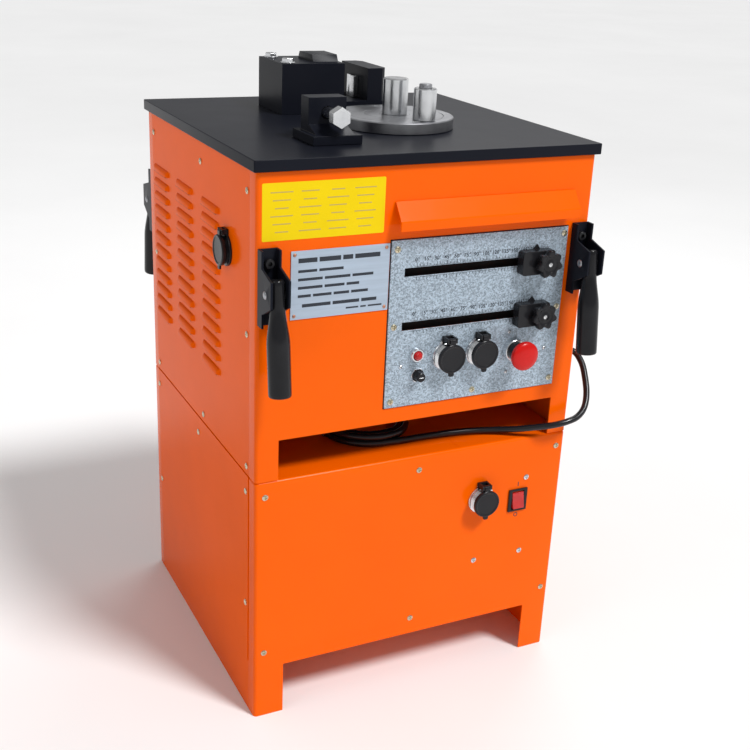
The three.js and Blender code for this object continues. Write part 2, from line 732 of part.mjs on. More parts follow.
function buildGearbox() {
  const reach = (bullTeeth * bullModule) / 2 + bullModule + 4;
  const firstReach = (firstGearTeeth * firstModule) / 2 + firstModule + 4;
  const x0 = Math.min(crankAt[0] - reach, firstShaftAt[0] - firstReach);
  const x1 = Math.max(mainShaftAt[0] + reach, secondShaftAt[0] + reach);
  const y0 = Math.min(mainShaftAt[1] - reach, firstShaftAt[1] - firstReach);
  const y1 = crankAt[1] + reach;
  const wall = gearboxWall;
  const outer = box(x0 - wall, x1 + wall, y0 - wall, y1 + wall, gearboxBottom, gearboxTop);
  const inside = box(x0, x1, y0, y1, floorTop, gearboxTop + 1);
  const bores = [mainShaftAt, crankAt, firstShaftAt, secondShaftAt].map(([x, y]) =>
    rod('z', journalRadius + runningFit, gearboxBottom - 1, floorTop + 1, [x, y, 0]));
  const motorBore = rod('z', 12, gearboxBottom - 1, floorTop + 1, [...motorAt, 0]);
  place('gearbox_housing', cut(outer, inside, ...bores, motorBore), castIron);
}

function buildMotor() {
  const top = gearboxBottom - gap;
  const bottom = top - motorLength;
  const wall = 6;
  const shell = turnedUp([[0, bottom], [motorRadius - 8, bottom], [motorRadius, bottom + 10],
    [motorRadius, top], [motorRadius - wall, top], [motorRadius - wall, bottom + 14],
    [0, bottom + 14]], 24);
  place('motor_housing', shell, castIron, [...motorAt, 0]);
  const shaftRadius = 6;
  const rotorRadius = 36;
  const commutatorRadius = 17;
  const fanRadius = 42;
  const start = bottom + 16;
  const armature = turnedUp([[0, start], [shaftRadius, start], [shaftRadius, start + 12],
    [commutatorRadius, start + 12], [commutatorRadius, start + 36], [rotorRadius, start + 42],
    [rotorRadius, top - 45], [shaftRadius, top - 40], [shaftRadius, top - 26],
    [fanRadius, top - 26], [fanRadius, top - 14], [shaftRadius, top - 14],
    [shaftRadius, firstFrom + 1], [0, firstFrom + 1]], 16);
  const pinionGeometry = extrude(
    gearOutline(motorPinionTeeth, firstModule, gearPhases().motor), firstTo - firstFrom);
  const pinion = solid(pinionGeometry.translate(0, 0, firstFrom));
  place('motor_armature', join(armature, pinion), copper, [...motorAt, 0]);
}

// ---------------------------------------------------------------- bending tools

// The roller starts just clear of a bar laid against the centre pin.
const barLine = mainShaftAt[1] - centrePinRadius - barDiameter / 2;
const rollerOffsetY = barLine - barDiameter / 2 - rollerRadius - 1 - mainShaftAt[1];

function buildBendingTools() {
  const [x, y] = mainShaftAt;
  const bottom = tableTop + gap;
  const top = bottom + discThickness;
  const rollerAt = [x + rollerAhead, y + rollerOffsetY, 0];
  const disc = join(
    cut(rod('z', discRadius, bottom, top, [x, y, 0], 40),
      rod('z', mainShaftRadius + gap, bottom - 1, top + 1, [x, y, 0])),
    rod('z', rollerPinRadius, top - 1, top + toolHeight, rollerAt));
  place('turntable_disc', disc, toolSteel);
  const pin = join(
    rod('z', centrePinRadius, top + gap, top + gap + toolHeight, [x, y, 0], 24),
    rod('z', spigotRadius, top - 20, top + gap + 1, [x, y, 0]));
  place('centre_pin', pin, steel);
  const roller = cut(rod('z', rollerRadius, top + gap, top + toolHeight - 6, rollerAt, 24),
    rod('z', rollerPinRadius + runningFit, top - 1, top + toolHeight, rollerAt));
  place('bending_roller', roller, steel);
}

const supportX = [-150, -80];
const screwRadius = 8;

// Back-up block for the bar's other side, with its adjusting screw along Y.
function buildSupport() {
  const bottom = tableTop + gap;
  const [x0, x1] = supportX;
  const middle = (x0 + x1) / 2;
  const wallBack = barLine - barDiameter / 2 - 22;
  const screwHeight = bottom + 36;
  const block = cut(
    join(box(x0, x1, wallBack - 62, wallBack + 8, bottom, bottom + 12),
      box(x0 + 8, x1 - 8, wallBack - 26, wallBack, bottom, bottom + 56),
      prismAcross(outline([[wallBack - 58, bottom + 11], [wallBack - 25, bottom + 11],
        [wallBack - 25, bottom + 22]]), x0 + 8, x1 - 8)),
    rod('y', screwRadius + runningFit, wallBack - 40, wallBack + 5, [middle, 0, screwHeight]));
  place('support_block', block, blackPaint);
  const tip = barLine - barDiameter / 2 - 1;
  const screw = join(
    rod('y', screwRadius, wallBack - 62, tip - 5, [middle, 0, screwHeight]),
    rod('y', 13, tip - 6, tip, [middle, 0, screwHeight]),
    rod('y', 14, wallBack - 72, wallBack - 58, [middle, 0, screwHeight], 6));
  place('support_screw', screw, steel);
}

// ---------------------------------------------------------------- shear head

// Ram that the crank pin drives along X through a slotted yoke.
const yokeClearance = 3.4; // each side, for the crank's arc against an even stroke
const yokeHalfX = crankPinRadius + yokeClearance;
const yokeHalfY = crankPinRadius + crankThrow + 0.8;
const tailHalfX = yokeHalfX + yokeWall;
const tailHalfY = yokeHalfY + yokeWall;
const cavityX = [crankPinAt[0] - tailHalfX - 1, crankPinAt[0] + tailHalfX + 2 * crankThrow + 1];
const housingX = [cavityX[0] - 9, cavityX[1] + 12];
const bladeTip = housingX[1] + 4;
const fixedBladeAt = bladeTip + throatWidth;
const jawX = [fixedBladeAt + 8, fixedBladeAt + 40];
const bladeDepth = 15;

function buildShearHead() {
  const [crankX, crankY] = crankAt;
  const bottom = tableTop + gap;
  const top = bottom + headHeight;
  const half = headDepth / 2;
  const fit = runningFit;
  const body = box(housingX[0], housingX[1], crankY - half, crankY + half, bottom, top);
  const bridge = box(housingX[1] - 1, jawX[1], crankY - half, crankY + half, bottom, bottom + 17);
  const jaw = prismUp(outline([[jawX[0], crankY - half], [jawX[1] - 8, crankY - half],
    [jawX[1], crankY - half + 8], [jawX[1], crankY + half - 8], [jawX[1] - 8, crankY + half],
    [jawX[0], crankY + half]]), bottom + 16, top - 8);
  const clampCap = prismAcross(outline([[crankY - 30, top - 1], [crankY + 30, top - 1],
    [crankY + 24, top + 10], [crankY - 24, top + 10]]), crankX + 8, housingX[1] - 3);
  const webRoom = rod('z', webRadius + 2, bottom - 1, webTo + 2, [crankX, crankY, 0]);
  const yokeRoom = box(cavityX[0], cavityX[1], crankY - tailHalfY - fit, crankY + tailHalfY + fit,
    ramFrom - fit, ramTo + fit);
  const ramGuide = box(cavityX[1] - 1, housingX[1] + 1, crankY - ramWidth / 2 - fit,
    crankY + ramWidth / 2 + fit, ramFrom - fit, ramTo + fit);
  const housing = cut(join(body, bridge, jaw, clampCap), webRoom, yokeRoom, ramGuide);
  place('cutter_housing', housing, blackPaint);
  place('cutter_ram', cutterRam(crankY), steel);
  const seat = bottom + 17 + gap;
  const edge = box(fixedBladeAt, jawX[0] - gap, crankY - bladeDepth, crankY - gap, seat, ramTo);
  const backing = box(fixedBladeAt + 2.5, jawX[0] - gap, crankY - 1, crankY + bladeDepth,
    seat, ramTo);
  place('fixed_blade', join(edge, backing), steel);
}

function cutterRam(crankY) {
  const [pinX] = crankPinAt;
  const tail = cut(
    box(pinX - tailHalfX, pinX + tailHalfX, crankY - tailHalfY, crankY + tailHalfY, ramFrom, ramTo),
    box(pinX - yokeHalfX, pinX + yokeHalfX, crankY - yokeHalfY, crankY + yokeHalfY,
      ramFrom - 1, ramTo + 1));
  const shoulder = fixedBladeAt - 2 * crankThrow - 6;
  const bar = box(pinX + tailHalfX - 1, shoulder, crankY - ramWidth / 2, crankY + ramWidth / 2,
    ramFrom, ramTo);
  const blade = box(shoulder - 1, bladeTip, crankY + gap, crankY + bladeDepth, ramFrom, ramTo);
  return join(tail, bar, blade);
}

// ---------------------------------------------------------------- mains cable

const coilBottom = baseHeight + gap;

// Route by hand: out of the gland, round the right corner, under the cabinet, to the coil.
const cableRoute = [
  [279, -185, 488], [290, -189, 484], [294, -203, 472], [290, -222, 453], [282, -240, 434],
  [270, -253, 419], [254, -260, 410], [235, -262, 406], [214, -258, 402], [192, -246, 397],
  [168, -230, 391], [142, -214, 387], [112, -203, 386], [80, -197, 385.7], [52, -194.5, 385.5],
  [25, -193.5, 385.5], [1.5, -193.5, 385.5],
];

function cableTube() {
  const points = cableRoute.map((p) => new THREE.Vector3(...p));
  const start = new THREE.Vector3(glandAt[0] + glandReach + gap, glandAt[1], glandAt[2]);
  const curve = new THREE.CatmullRomCurve3([start, ...points], false, 'centripetal');
  const ring = new THREE.Shape();
  ring.absarc(0, 0, cableRadius, 0, 2 * Math.PI, false);
  return solid(new THREE.ExtrudeGeometry(ring,
    { steps: 34, curveSegments: 4, extrudePath: curve, bevelEnabled: false }));
}

function buildCable() {
  const sleeve = [[0, -8], [glandThreadRadius, -8], [glandThreadRadius, gap], [13, gap],
    [13, 7], [8.5, 10], [7, glandReach], [0, glandReach]];
  const gland = solid(new THREE.LatheGeometry(
    sleeve.map(([r, x]) => new THREE.Vector2(r, x)), 14).rotateZ(-Math.PI / 2));
  place('cable_gland', gland, rubber, glandAt);
  place('mains_cable', cableTube(), rubber);
  const inner = coilMeanRadius - coilWidth / 2;
  const outer = coilMeanRadius + coilWidth / 2;
  const ring = turnedUp([[inner, 0], [outer, 0], [outer, coilHeight], [inner, coilHeight],
    [inner, 0]], 28);
  place('cable_coil', ring, rubber, [...coilCentre, coilBottom]);
  const body = box(-22, 22, -14, 14, 0, 22);
  const pins = [-6.5, 6.5].map((y) => box(21, 40, y - 1, y + 1, 7, 14));
  const relief = rod('x', 7, -42, -21, [0, 0, 7], 12);
  const plugAt = [coilCentre[0] + 82.5, coilCentre[1] + outer - cableRadius, coilBottom];
  place('mains_plug', join(body, relief, ...pins), rubber, plugAt);
}

// ---------------------------------------------------------------- build

buildCabinets();
buildTable();
buildFrontPlates();
buildAngleStops();
buildIndicators();
buildSockets();
buildEmergencyStop();
buildRocker();
buildTransformer();
buildHandles();
buildGearbox();
buildMotor();
buildGearTrain();
buildBendingTools();
buildSupport();
buildShearHead();
buildCable();

export default machine;
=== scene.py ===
"""Looks of a portable rebar bender and cutter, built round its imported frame.

Shapes are worked out in millimetres, +Z up, the control panel facing -Y, each in its own place;
add_piece turns them into metres.
"""
import math

import bmesh
import bpy
import numpy as np
from bpy.props import FloatProperty, FloatVectorProperty, IntProperty, PointerProperty
from mathutils import Matrix, Vector


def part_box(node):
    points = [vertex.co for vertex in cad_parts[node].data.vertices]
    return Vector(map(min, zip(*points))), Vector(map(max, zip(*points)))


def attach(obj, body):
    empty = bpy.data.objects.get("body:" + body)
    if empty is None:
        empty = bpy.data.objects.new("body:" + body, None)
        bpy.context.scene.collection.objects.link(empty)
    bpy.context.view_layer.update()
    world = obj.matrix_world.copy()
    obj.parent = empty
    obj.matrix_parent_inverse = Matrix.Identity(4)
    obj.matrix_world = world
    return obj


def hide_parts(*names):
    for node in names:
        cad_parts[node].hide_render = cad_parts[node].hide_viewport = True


bl_info = {
    "name": "Rebar Bender",
    "version": (1, 0, 0),
    "blender": (4, 5, 0),
    "location": "3D View > Sidebar > Bender",
    "description": "Builds a cabinet rebar bender and cutter piece by piece",
    "category": "Mesh",
}

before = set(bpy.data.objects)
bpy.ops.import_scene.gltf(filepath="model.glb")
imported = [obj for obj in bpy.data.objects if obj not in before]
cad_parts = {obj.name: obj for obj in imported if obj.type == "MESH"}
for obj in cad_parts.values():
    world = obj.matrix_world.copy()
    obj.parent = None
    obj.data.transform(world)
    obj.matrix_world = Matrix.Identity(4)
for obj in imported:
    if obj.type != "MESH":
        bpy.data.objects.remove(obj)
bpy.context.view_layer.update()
MM = 0.001
CABINET = "cabinet"


def length(name, description, millimetres):
    return FloatProperty(name=name, description=description, default=millimetres * MM,
                         unit="LENGTH", subtype="DISTANCE", precision=5)


def colour(name, description, rgb):
    return FloatVectorProperty(name=name, description=description, default=rgb, size=3,
                               subtype="COLOR", min=0, max=1)


class BenderSizes(bpy.types.PropertyGroup):
    """Sizes that a user would change."""
    sheet: length("Sheet", "Thickness of the cabinet sheets", 2)
    corner_radius: length("Corner radius", "Outer radius of the upright bends", 6)
    top_bend: length("Top bend", "Radius of the lower cabinet's top bends", 4.5)
    louvre_length: length("Louvre length", "Length of one pressed louvre", 72)
    louvre_height: length("Louvre height", "Height of one pressed louvre", 9)
    louvre_out: length("Louvre depth", "How far a louvre stands out", 4.6)
    louvre_pitch: length("Louvre pitch", "From one row of louvres to the next", 21)
    louvre_rows: IntProperty(name="Louvre rows", description="Rows of louvres", default=12, min=1)
    screw_radius: length("Screw head", "Radius of a cabinet screw's head", 4.4)
    rivet_radius: length("Rivet head", "Radius of a nameplate rivet", 2.4)
    cable: length("Cable", "Diameter of the mains cable", 9.8)
    knob_radius: length("Knob", "Radius of an angle stop's knob over its lobes", 20)
    flange_radius: length("Socket flange", "Radius of a capped socket's ring", 22)
    cap_radius: length("Socket cap", "Radius of a socket's flap cap", 21)
    stop_radius: length("Stop head", "Radius of the emergency stop's head", 21)
    grip_radius: length("Grip", "Radius of a handle's sleeve at its wide end", 15)
    sleeve_radius: length("Sleeve", "Radius of a handle's sleeve inside its bracket", 9.8)
    disc_radius: length("Bending disc", "Radius of the bending disc", 85)


class BenderColours(bpy.types.PropertyGroup):
    """Colours that a user would change."""
    orange: colour("Orange enamel", "Cabinet enamel", (0.98, 0.125, 0.0))
    black: colour("Black enamel", "Table and bracket enamel", (0.008, 0.009, 0.014))
    zinc: colour("Galvanised sheet", "Control panel", (0.38, 0.46, 0.54))
    plate: colour("Nameplate", "Printed metal plate", (0.46, 0.55, 0.66))
    label: colour("Yellow label", "Upper label", (0.88, 0.64, 0.0))
    plastic: colour("Black plastic", "Knobs, caps and frames", (0.012, 0.012, 0.014))
    red: colour("Red plastic", "Stop head and rocker", (0.62, 0.006, 0.004))
    rubber: colour("Cable sheath", "Mains cable and plug", (0.010, 0.010, 0.012))
    print_ink: colour("Print", "Scales and plate lines", (0.02, 0.025, 0.035))


def size(name):
    """A user's size in millimetres."""
    return getattr(bpy.context.scene.bender_sizes, name) / MM


# ------------------------------------------------------------------ finishes

# Each finish: the slot of its pieces; its light and dark colours, fixed or a share of one of the
# user's; its lowest and highest roughness; the scales of its broad and its fine pattern, which are
# noise unless cells or bands are named; the depth of the fine one; and what differs from USUAL.
USUAL = dict(metallic=0.0, distance=0.0005, stretch=(1, 1, 1), coat=0.0, specular=0.4,
             spread=(0.3, 0.7), transmission=0.0)
FINISHES = {
    "pale_floor": (None, (0.92, 0.92, 0.92), (0.88, 0.88, 0.88), (0.55, 0.65),
        0.7, 900.0, 0.01, dict()),
    "orange_enamel": ("orange_paint", ("orange", 1), ("orange", 0.92), (0.13, 0.2),
        5.0, 700.0, 0.05, dict(specular=0.11)),
    # Painted shade: the orange enamel again, with weaker reflections, so that the side sheets render
    # darker than the front.
    "side_enamel": ("orange_paint", ("orange", 1), ("orange", 0.92), (0.13, 0.2),
        5.0, 700.0, 0.05, dict(specular=0.03)),
    "black_enamel": ("black_paint", ("black", 1.3), ("black", 1), (0.26, 0.34),
        3.0, 1100.0, 0.06, dict(specular=0.07)),
    "spangled_sheet": ("galvanised_steel", ("zinc", 1.3), ("zinc", 0.6), (0.32, 0.5),
        ("cells", 560.0), ("cells", 560.0), 0.3, dict(metallic=0.3, spread=(0.05, 0.95))),
    "plate_metal": ("label_metal", ("plate", 1), ("plate", 0.86), (0.35, 0.5),
        14.0, 1600.0, 0.05, dict(metallic=0.35, stretch=(1, 1, 12))),
    "yellow_vinyl": ("label_metal", ("label", 1), ("label", 0.93), (0.3, 0.42),
        12.0, 1500.0, 0.03, dict(specular=0.15)),
    "moulded_black": ("black_plastic", ("plastic", 1.3), ("plastic", 1), (0.17, 0.25),
        30.0, 2200.0, 0.06, dict(specular=0.22)),
    "bright_steel": ("plated_steel", (0.78, 0.79, 0.8), (0.62, 0.63, 0.65), (0.16, 0.28),
        40.0, 900.0, 0.03, dict(metallic=1.0)),
    "yellow_zinc": ("plated_steel", (0.78, 0.72, 0.55), (0.52, 0.47, 0.34), (0.2, 0.34),
        220.0, 1800.0, 0.05, dict(metallic=1.0)),
    "turned_steel": ("plated_steel", (0.44, 0.45, 0.47), (0.3, 0.3, 0.32), (0.26, 0.42),
        26.0, ("bands", 380.0), 0.05, dict(metallic=1.0, distance=0.0002)),
    "rough_casting": ("cast_iron", (0.085, 0.088, 0.095), (0.045, 0.046, 0.05), (0.55, 0.8),
        18.0, 420.0, 0.5, dict(metallic=0.3)),
    "laminations": ("transformer_steel", (0.17, 0.15, 0.13), (0.07, 0.06, 0.055), (0.4, 0.6),
        ("bands", 120.0), ("bands", 260.0), 0.4, dict(metallic=0.5)),
    "copper_winding": ("copper", (0.72, 0.33, 0.15), (0.36, 0.14, 0.06), (0.28, 0.45),
        ("bands", 90.0), ("bands", 300.0), 0.4, dict(metallic=0.9)),
    "moulded_red": ("red_plastic", ("red", 1), ("red", 0.85), (0.2, 0.3),
        40.0, 1500.0, 0.04, dict(specular=0.3)),
    "clear_red": ("red_lens", ("red", 1.2), ("red", 0.8), (0.1, 0.2),
        60.0, ("cells", 620.0), 0.3, dict(coat=0.5, transmission=0.25)),
    "vinyl_sleeve": ("handle_sleeve", ("plastic", 1.1), ("plastic", 0.7), (0.13, 0.2),
        22.0, 1300.0, 0.06, dict(specular=0.22)),
    "cable_sheath": ("cable_rubber", ("rubber", 1.3), ("rubber", 1), (0.14, 0.22),
        45.0, 1700.0, 0.08, dict(specular=0.35)),
    "printed_ink": ("label_metal", ("print_ink", 1.3), ("print_ink", 1), (0.45, 0.6),
        50.0, 2500.0, 0.05, dict()),
    "grey_ink": ("label_metal", (0.55, 0.42, 0.1), (0.5, 0.38, 0.08), (0.4, 0.5),
        60.0, 900.0, 0.02, dict()),
    "rivet_copper": ("copper", (0.62, 0.3, 0.2), (0.45, 0.2, 0.13), (0.3, 0.45),
        300.0, 900.0, 0.02, dict(metallic=0.9)),
    # Painted shade: black for thin dark boxes and sheets set where only shade falls, in the louvre
    # openings, behind the scale slots and round the control panel.
    "dark_void": ("black_plastic", (0.012, 0.011, 0.011), (0.006, 0.005, 0.005), (0.7, 0.9),
        20.0, 500.0, 0.1, dict()),
}
SMUDGE = 3.1
MADE = {}


def add_node(tree, kind, links=(), **settings):
    """A node with its settings or input values, and its inputs linked."""
    made = tree.nodes.new(kind)
    for key, value in settings.items():
        if key in made.bl_rna.properties:
            setattr(made, key, value)
        else:
            made.inputs[key.replace("_", " ")].default_value = value
    for name, source in links:
        tree.links.new(source, made.inputs[name])
    return made


def grain(tree, place, kind, scale):
    """One pattern's grey value: soft noise, random cells, or even bands."""
    vector = [("Vector", place)]
    if kind == "cells":
        cells = add_node(tree, "ShaderNodeTexVoronoi", vector, Scale=scale).outputs["Color"]
        return add_node(tree, "ShaderNodeSeparateColor", [("Color", cells)]).outputs[0]
    if kind == "bands":
        return add_node(tree, "ShaderNodeTexWave", vector, Scale=scale, Distortion=0.6,
                        bands_direction="Z").outputs["Fac"]
    return add_node(tree, "ShaderNodeTexNoise", vector, Scale=scale, Detail=5.0,
                    Roughness=0.6).outputs["Fac"]


def finish(name):
    """A material whose colour and roughness follow broad patterns and its bump a fine one."""
    if name in MADE:
        return MADE[name]
    _, light, dark, rough, broad, fine, depth, own = FINISHES[name]
    look = {**USUAL, **own}
    broad, fine = (scale if isinstance(scale, tuple) else ("noise", scale) for scale in (broad, fine))
    made = MADE[name] = bpy.data.materials.new(name)
    made.use_nodes = True
    tree = made.node_tree
    tree.nodes.clear()
    coords = add_node(tree, "ShaderNodeTexCoord").outputs["Object"]
    mapped = add_node(tree, "ShaderNodeMapping", [("Vector", coords)], Scale=look["stretch"])
    place = mapped.outputs["Vector"]
    ramp = add_node(tree, "ShaderNodeValToRGB", [("Fac", grain(tree, place, *broad))])
    for stop, at, tone in zip(ramp.color_ramp.elements, look["spread"], (dark, light)):
        stop.position = at
        if isinstance(tone[0], str):
            user = getattr(bpy.context.scene.bender_colours, tone[0])
            tone = [tone[1] * part for part in user]
        stop.color = (*tone, 1)
    smudge = grain(tree, place, "noise", broad[1] * SMUDGE)
    worn = add_node(tree, "ShaderNodeMapRange", [("Value", smudge)], To_Min=rough[0],
                    To_Max=rough[1]).outputs["Result"]
    relief = add_node(tree, "ShaderNodeBump", [("Height", grain(tree, place, *fine))],
                      Strength=depth, Distance=look["distance"]).outputs["Normal"]
    shader = add_node(tree, "ShaderNodeBsdfPrincipled", [
        ("Base Color", ramp.outputs["Color"]), ("Roughness", worn), ("Normal", relief)],
        Metallic=look["metallic"], Coat_Weight=look["coat"], Coat_Roughness=0.08,
        Specular_IOR_Level=look["specular"], Transmission_Weight=look["transmission"])
    add_node(tree, "ShaderNodeOutputMaterial", [("Surface", shader.outputs["BSDF"])])
    return made


# ------------------------------------------------------------------ surfaces

# Right, up and outwards as seen by someone who faces that side of the machine.
SIDES = {
    "front": ((1, 0, 0), (0, 0, 1), (0, -1, 0)),
    "back": ((-1, 0, 0), (0, 0, 1), (0, 1, 0)),
    "left": ((0, -1, 0), (0, 0, 1), (-1, 0, 0)),
    "right": ((0, 1, 0), (0, 0, 1), (1, 0, 0)),
    "top": ((1, 0, 0), (0, 1, 0), (0, 0, 1)),
}
HEXAGON = np.array([(math.cos(a), math.sin(a)) for a in np.arange(6) * math.pi / 3])


def seat(part, at, side="top"):
    """A part moved from its own right, up and out axes to a place on one side of the machine."""
    points, faces = part
    return np.asarray(points) @ np.array(SIDES[side], float) + np.asarray(at, float), faces


def seats(parts, at, side="top"):
    """Several parts moved alike."""
    return [seat(part, at, side) for part in parts]


def grid_faces(rows, columns, wrap_rows=False, wrap_columns=False, keep=None):
    """Quads between neighbouring points of a grid; a wrapped direction closes on itself."""
    down, along = np.meshgrid(np.arange(rows if wrap_rows else rows - 1),
                              np.arange(columns if wrap_columns else columns - 1), indexing="ij")
    below, beside = (down + 1) % rows, (along + 1) % columns
    quads = np.stack([down * columns + along, down * columns + beside,
                      below * columns + beside, below * columns + along], -1)
    if keep is not None:
        quads = quads[keep]
    return quads.reshape(-1, 4).tolist()


def lathe(profile, segments=48):
    """(radius, out) pairs turned about the out axis: right = r cos a, up = r sin a."""
    radius, out = np.array(profile, float).T
    angle = np.linspace(0, 2 * math.pi, segments, endpoint=False)
    points = np.stack([radius[:, None] * np.cos(angle), radius[:, None] * np.sin(angle),
                       np.repeat(out[:, None], segments, 1)], -1)
    return points.reshape(-1, 3), grid_faces(len(profile), segments, wrap_columns=True)


def tube(inner, outer, low, high, segments=32):
    """A lathe of a rectangle; with no inner radius, a solid rod."""
    loop = [(inner, low), (outer, low), (outer, high), (inner, high)]
    return lathe(loop + loop[:1] if inner else loop, segments)


def prism(outline, low, high):
    """A closed (right, up) outline carried straight out from low to high, with flat ends."""
    loop = np.asarray(outline, float)
    count = len(loop)
    points = np.concatenate([np.c_[loop, np.full(count, low)], np.c_[loop, np.full(count, high)]])
    ends = [list(range(count))[::-1], list(range(count, 2 * count))]
    return points, grid_faces(2, count, wrap_columns=True) + ends


def rounded_rectangle(width, height, radius, steps=6):
    """Four quarter circles of the corner radius, in order round the centre."""
    angle = (np.arange(4)[:, None] * math.pi / 2 + np.linspace(0, math.pi / 2, steps)).ravel()
    centre_x = np.repeat([1, -1, -1, 1], steps) * (width / 2 - radius)
    centre_y = np.repeat([1, 1, -1, -1], steps) * (height / 2 - radius)
    return np.c_[centre_x + radius * np.cos(angle), centre_y + radius * np.sin(angle)]


def boxes(blocks):
    """Upright blocks, (centre, span) each, as one part: every centre plus and minus half its span."""
    centres, spans = np.array(blocks, float).transpose(1, 0, 2)
    signs = np.array([[-1, -1, -1], [1, -1, -1], [1, 1, -1], [-1, 1, -1],
                      [-1, -1, 1], [1, -1, 1], [1, 1, 1], [-1, 1, 1]]) / 2
    points = (centres[:, None] + signs * spans[:, None]).reshape(-1, 3)
    sides = np.array([[3, 2, 1, 0], [4, 5, 6, 7], [0, 1, 5, 4], [1, 2, 6, 5], [2, 3, 7, 6],
                      [3, 0, 4, 7]])
    faces = (np.arange(len(centres))[:, None, None] * 8 + sides).reshape(-1, 4)
    return points, faces.tolist()


def together(parts):
    """Several parts as one: their points in a row, and each one's faces counted on from there."""
    points, faces, start = [], [], 0
    for part_points, part_faces in parts:
        points.append(np.asarray(part_points))
        faces += [[start + corner for corner in face] for face in part_faces]
        start += len(part_points)
    return np.concatenate(points), faces


def smooth_step(value, start, end):
    """0 before start, 1 after end, and 3s^2 - 2s^3 between them."""
    share = np.clip((value - start) / (end - start), 0, 1)
    return share * share * (3 - 2 * share)


def add_piece(name, parts, look, body=CABINET, **ways):
    """A mesh object in metres from one part or several in millimetres; see dress for the ways."""
    points, faces = parts if isinstance(parts, tuple) else together(parts)
    mesh = bpy.data.meshes.new(name)
    mesh.from_pydata((np.asarray(points) * MM).tolist(), [], faces)
    return dress(name, mesh, look, body, **ways)


def dress(name, mesh, look, body, slot=None, wall=0.0, bevel=0.0, segments=2, sharp=35,
          outward=True, flatten=False):
    """Merges doubled corners, turns faces outwards, smooths, and gives wall, bevel and finish.
    A piece called fine_X stands for the CAD node X."""
    work = bmesh.new()
    work.from_mesh(mesh)
    bmesh.ops.remove_doubles(work, verts=work.verts, dist=1e-6)
    if flatten:
        bmesh.ops.dissolve_limit(work, angle_limit=math.radians(1), verts=work.verts,
                                 edges=work.edges)
    loose = [corner for corner in work.verts if not corner.link_faces]
    bmesh.ops.delete(work, geom=loose, context="VERTS")
    if outward:
        bmesh.ops.recalc_face_normals(work, faces=work.faces)
    work.to_mesh(mesh)
    work.free()
    mesh.shade_smooth()
    mesh.set_sharp_from_angle(angle=math.radians(sharp))
    made = bpy.data.objects.new(name, mesh)
    bpy.context.collection.objects.link(made)
    mesh.materials.clear()
    mesh.materials.append(finish(look))
    if wall:
        shell = made.modifiers.new("Wall", "SOLIDIFY")
        shell.thickness = wall * MM
        shell.offset = -1
    if bevel:
        edge = made.modifiers.new("Edges", "BEVEL")
        edge.width = bevel * MM
        edge.segments = segments
        edge.limit_method = "ANGLE"
        edge.angle_limit = math.radians(40)
        edge.harden_normals = True
    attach(made, body)
    if name.startswith("fine_"):
        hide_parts(name.removeprefix("fine_"))
    return made


def rounded_copy(source, look, body=CABINET, bevel=0.6, segments=2, slot=None):
    """A copy of a CAD piece with its flat faces joined and its edges rounded."""
    return dress("fine_" + source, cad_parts[source].data.copy(), look, body, slot,
                 bevel=bevel, segments=segments, flatten=True)


def recoat(look, *names):
    """Carried-over CAD pieces get their finish."""
    for name in names:
        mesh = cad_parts[name].data
        mesh.materials.clear()
        mesh.materials.append(finish(look))


def box_of(name):
    """A CAD node's lowest and highest corners in millimetres."""
    low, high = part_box(name)
    return np.array(low) / MM, np.array(high) / MM


def middle_of(name):
    """The middle of a CAD node's box in millimetres."""
    low, high = box_of(name)
    return (low + high) / 2


BASE_LOW, BASE_HIGH = box_of("base_front_panel")
BODY_LOW, BODY_HIGH = box_of("front_panel")
PANEL_LOW, PANEL_HIGH = box_of("control_panel")
PANEL_FACE = PANEL_LOW[1]
HALF_WIDTH = BASE_HIGH[0]
FRONT = BASE_LOW[1]
RETURN = 24
BASE_LEG = (45, 81)
BODY_LEG = (33, 59)
TOP_FLANGE = 1.2
UPPER_BEND = 1.5
SIDE_GAP = 0.3
SIDE_PROUD = 1.2
LOUVRE_STARTS = (-207, -91, 26)
LOUVRES_DOWN = 76
SLIDER_SPAN = (52, 34)
SLIDER_TRAVEL = 184
SLIDER_AT = box_of("slider_block_a")[0][0] + SLIDER_SPAN[0] / 2
SLOT_HEIGHTS = [box_of(f"slider_block_{letter}")[0][2] + SLIDER_SPAN[1] / 2 for letter in "ab"]
SLOT_ENDS = (-45, 195)
SLOT_HALF = 7
TICK_STEPS, NUMBER_STEPS = 36, 12
PRINT_DEPTH = 0.12
MARK_AWAY = 26
CAP_STANDS = {"front": 14, "left": 7.5}
HINGE_UP = 25
GRIP_LENGTH, GRIP_LEAN = 150, 17
PIVOT_DOWN, PIVOT_OUT = 52, 27


# ------------------------------------------------------------------ cabinet

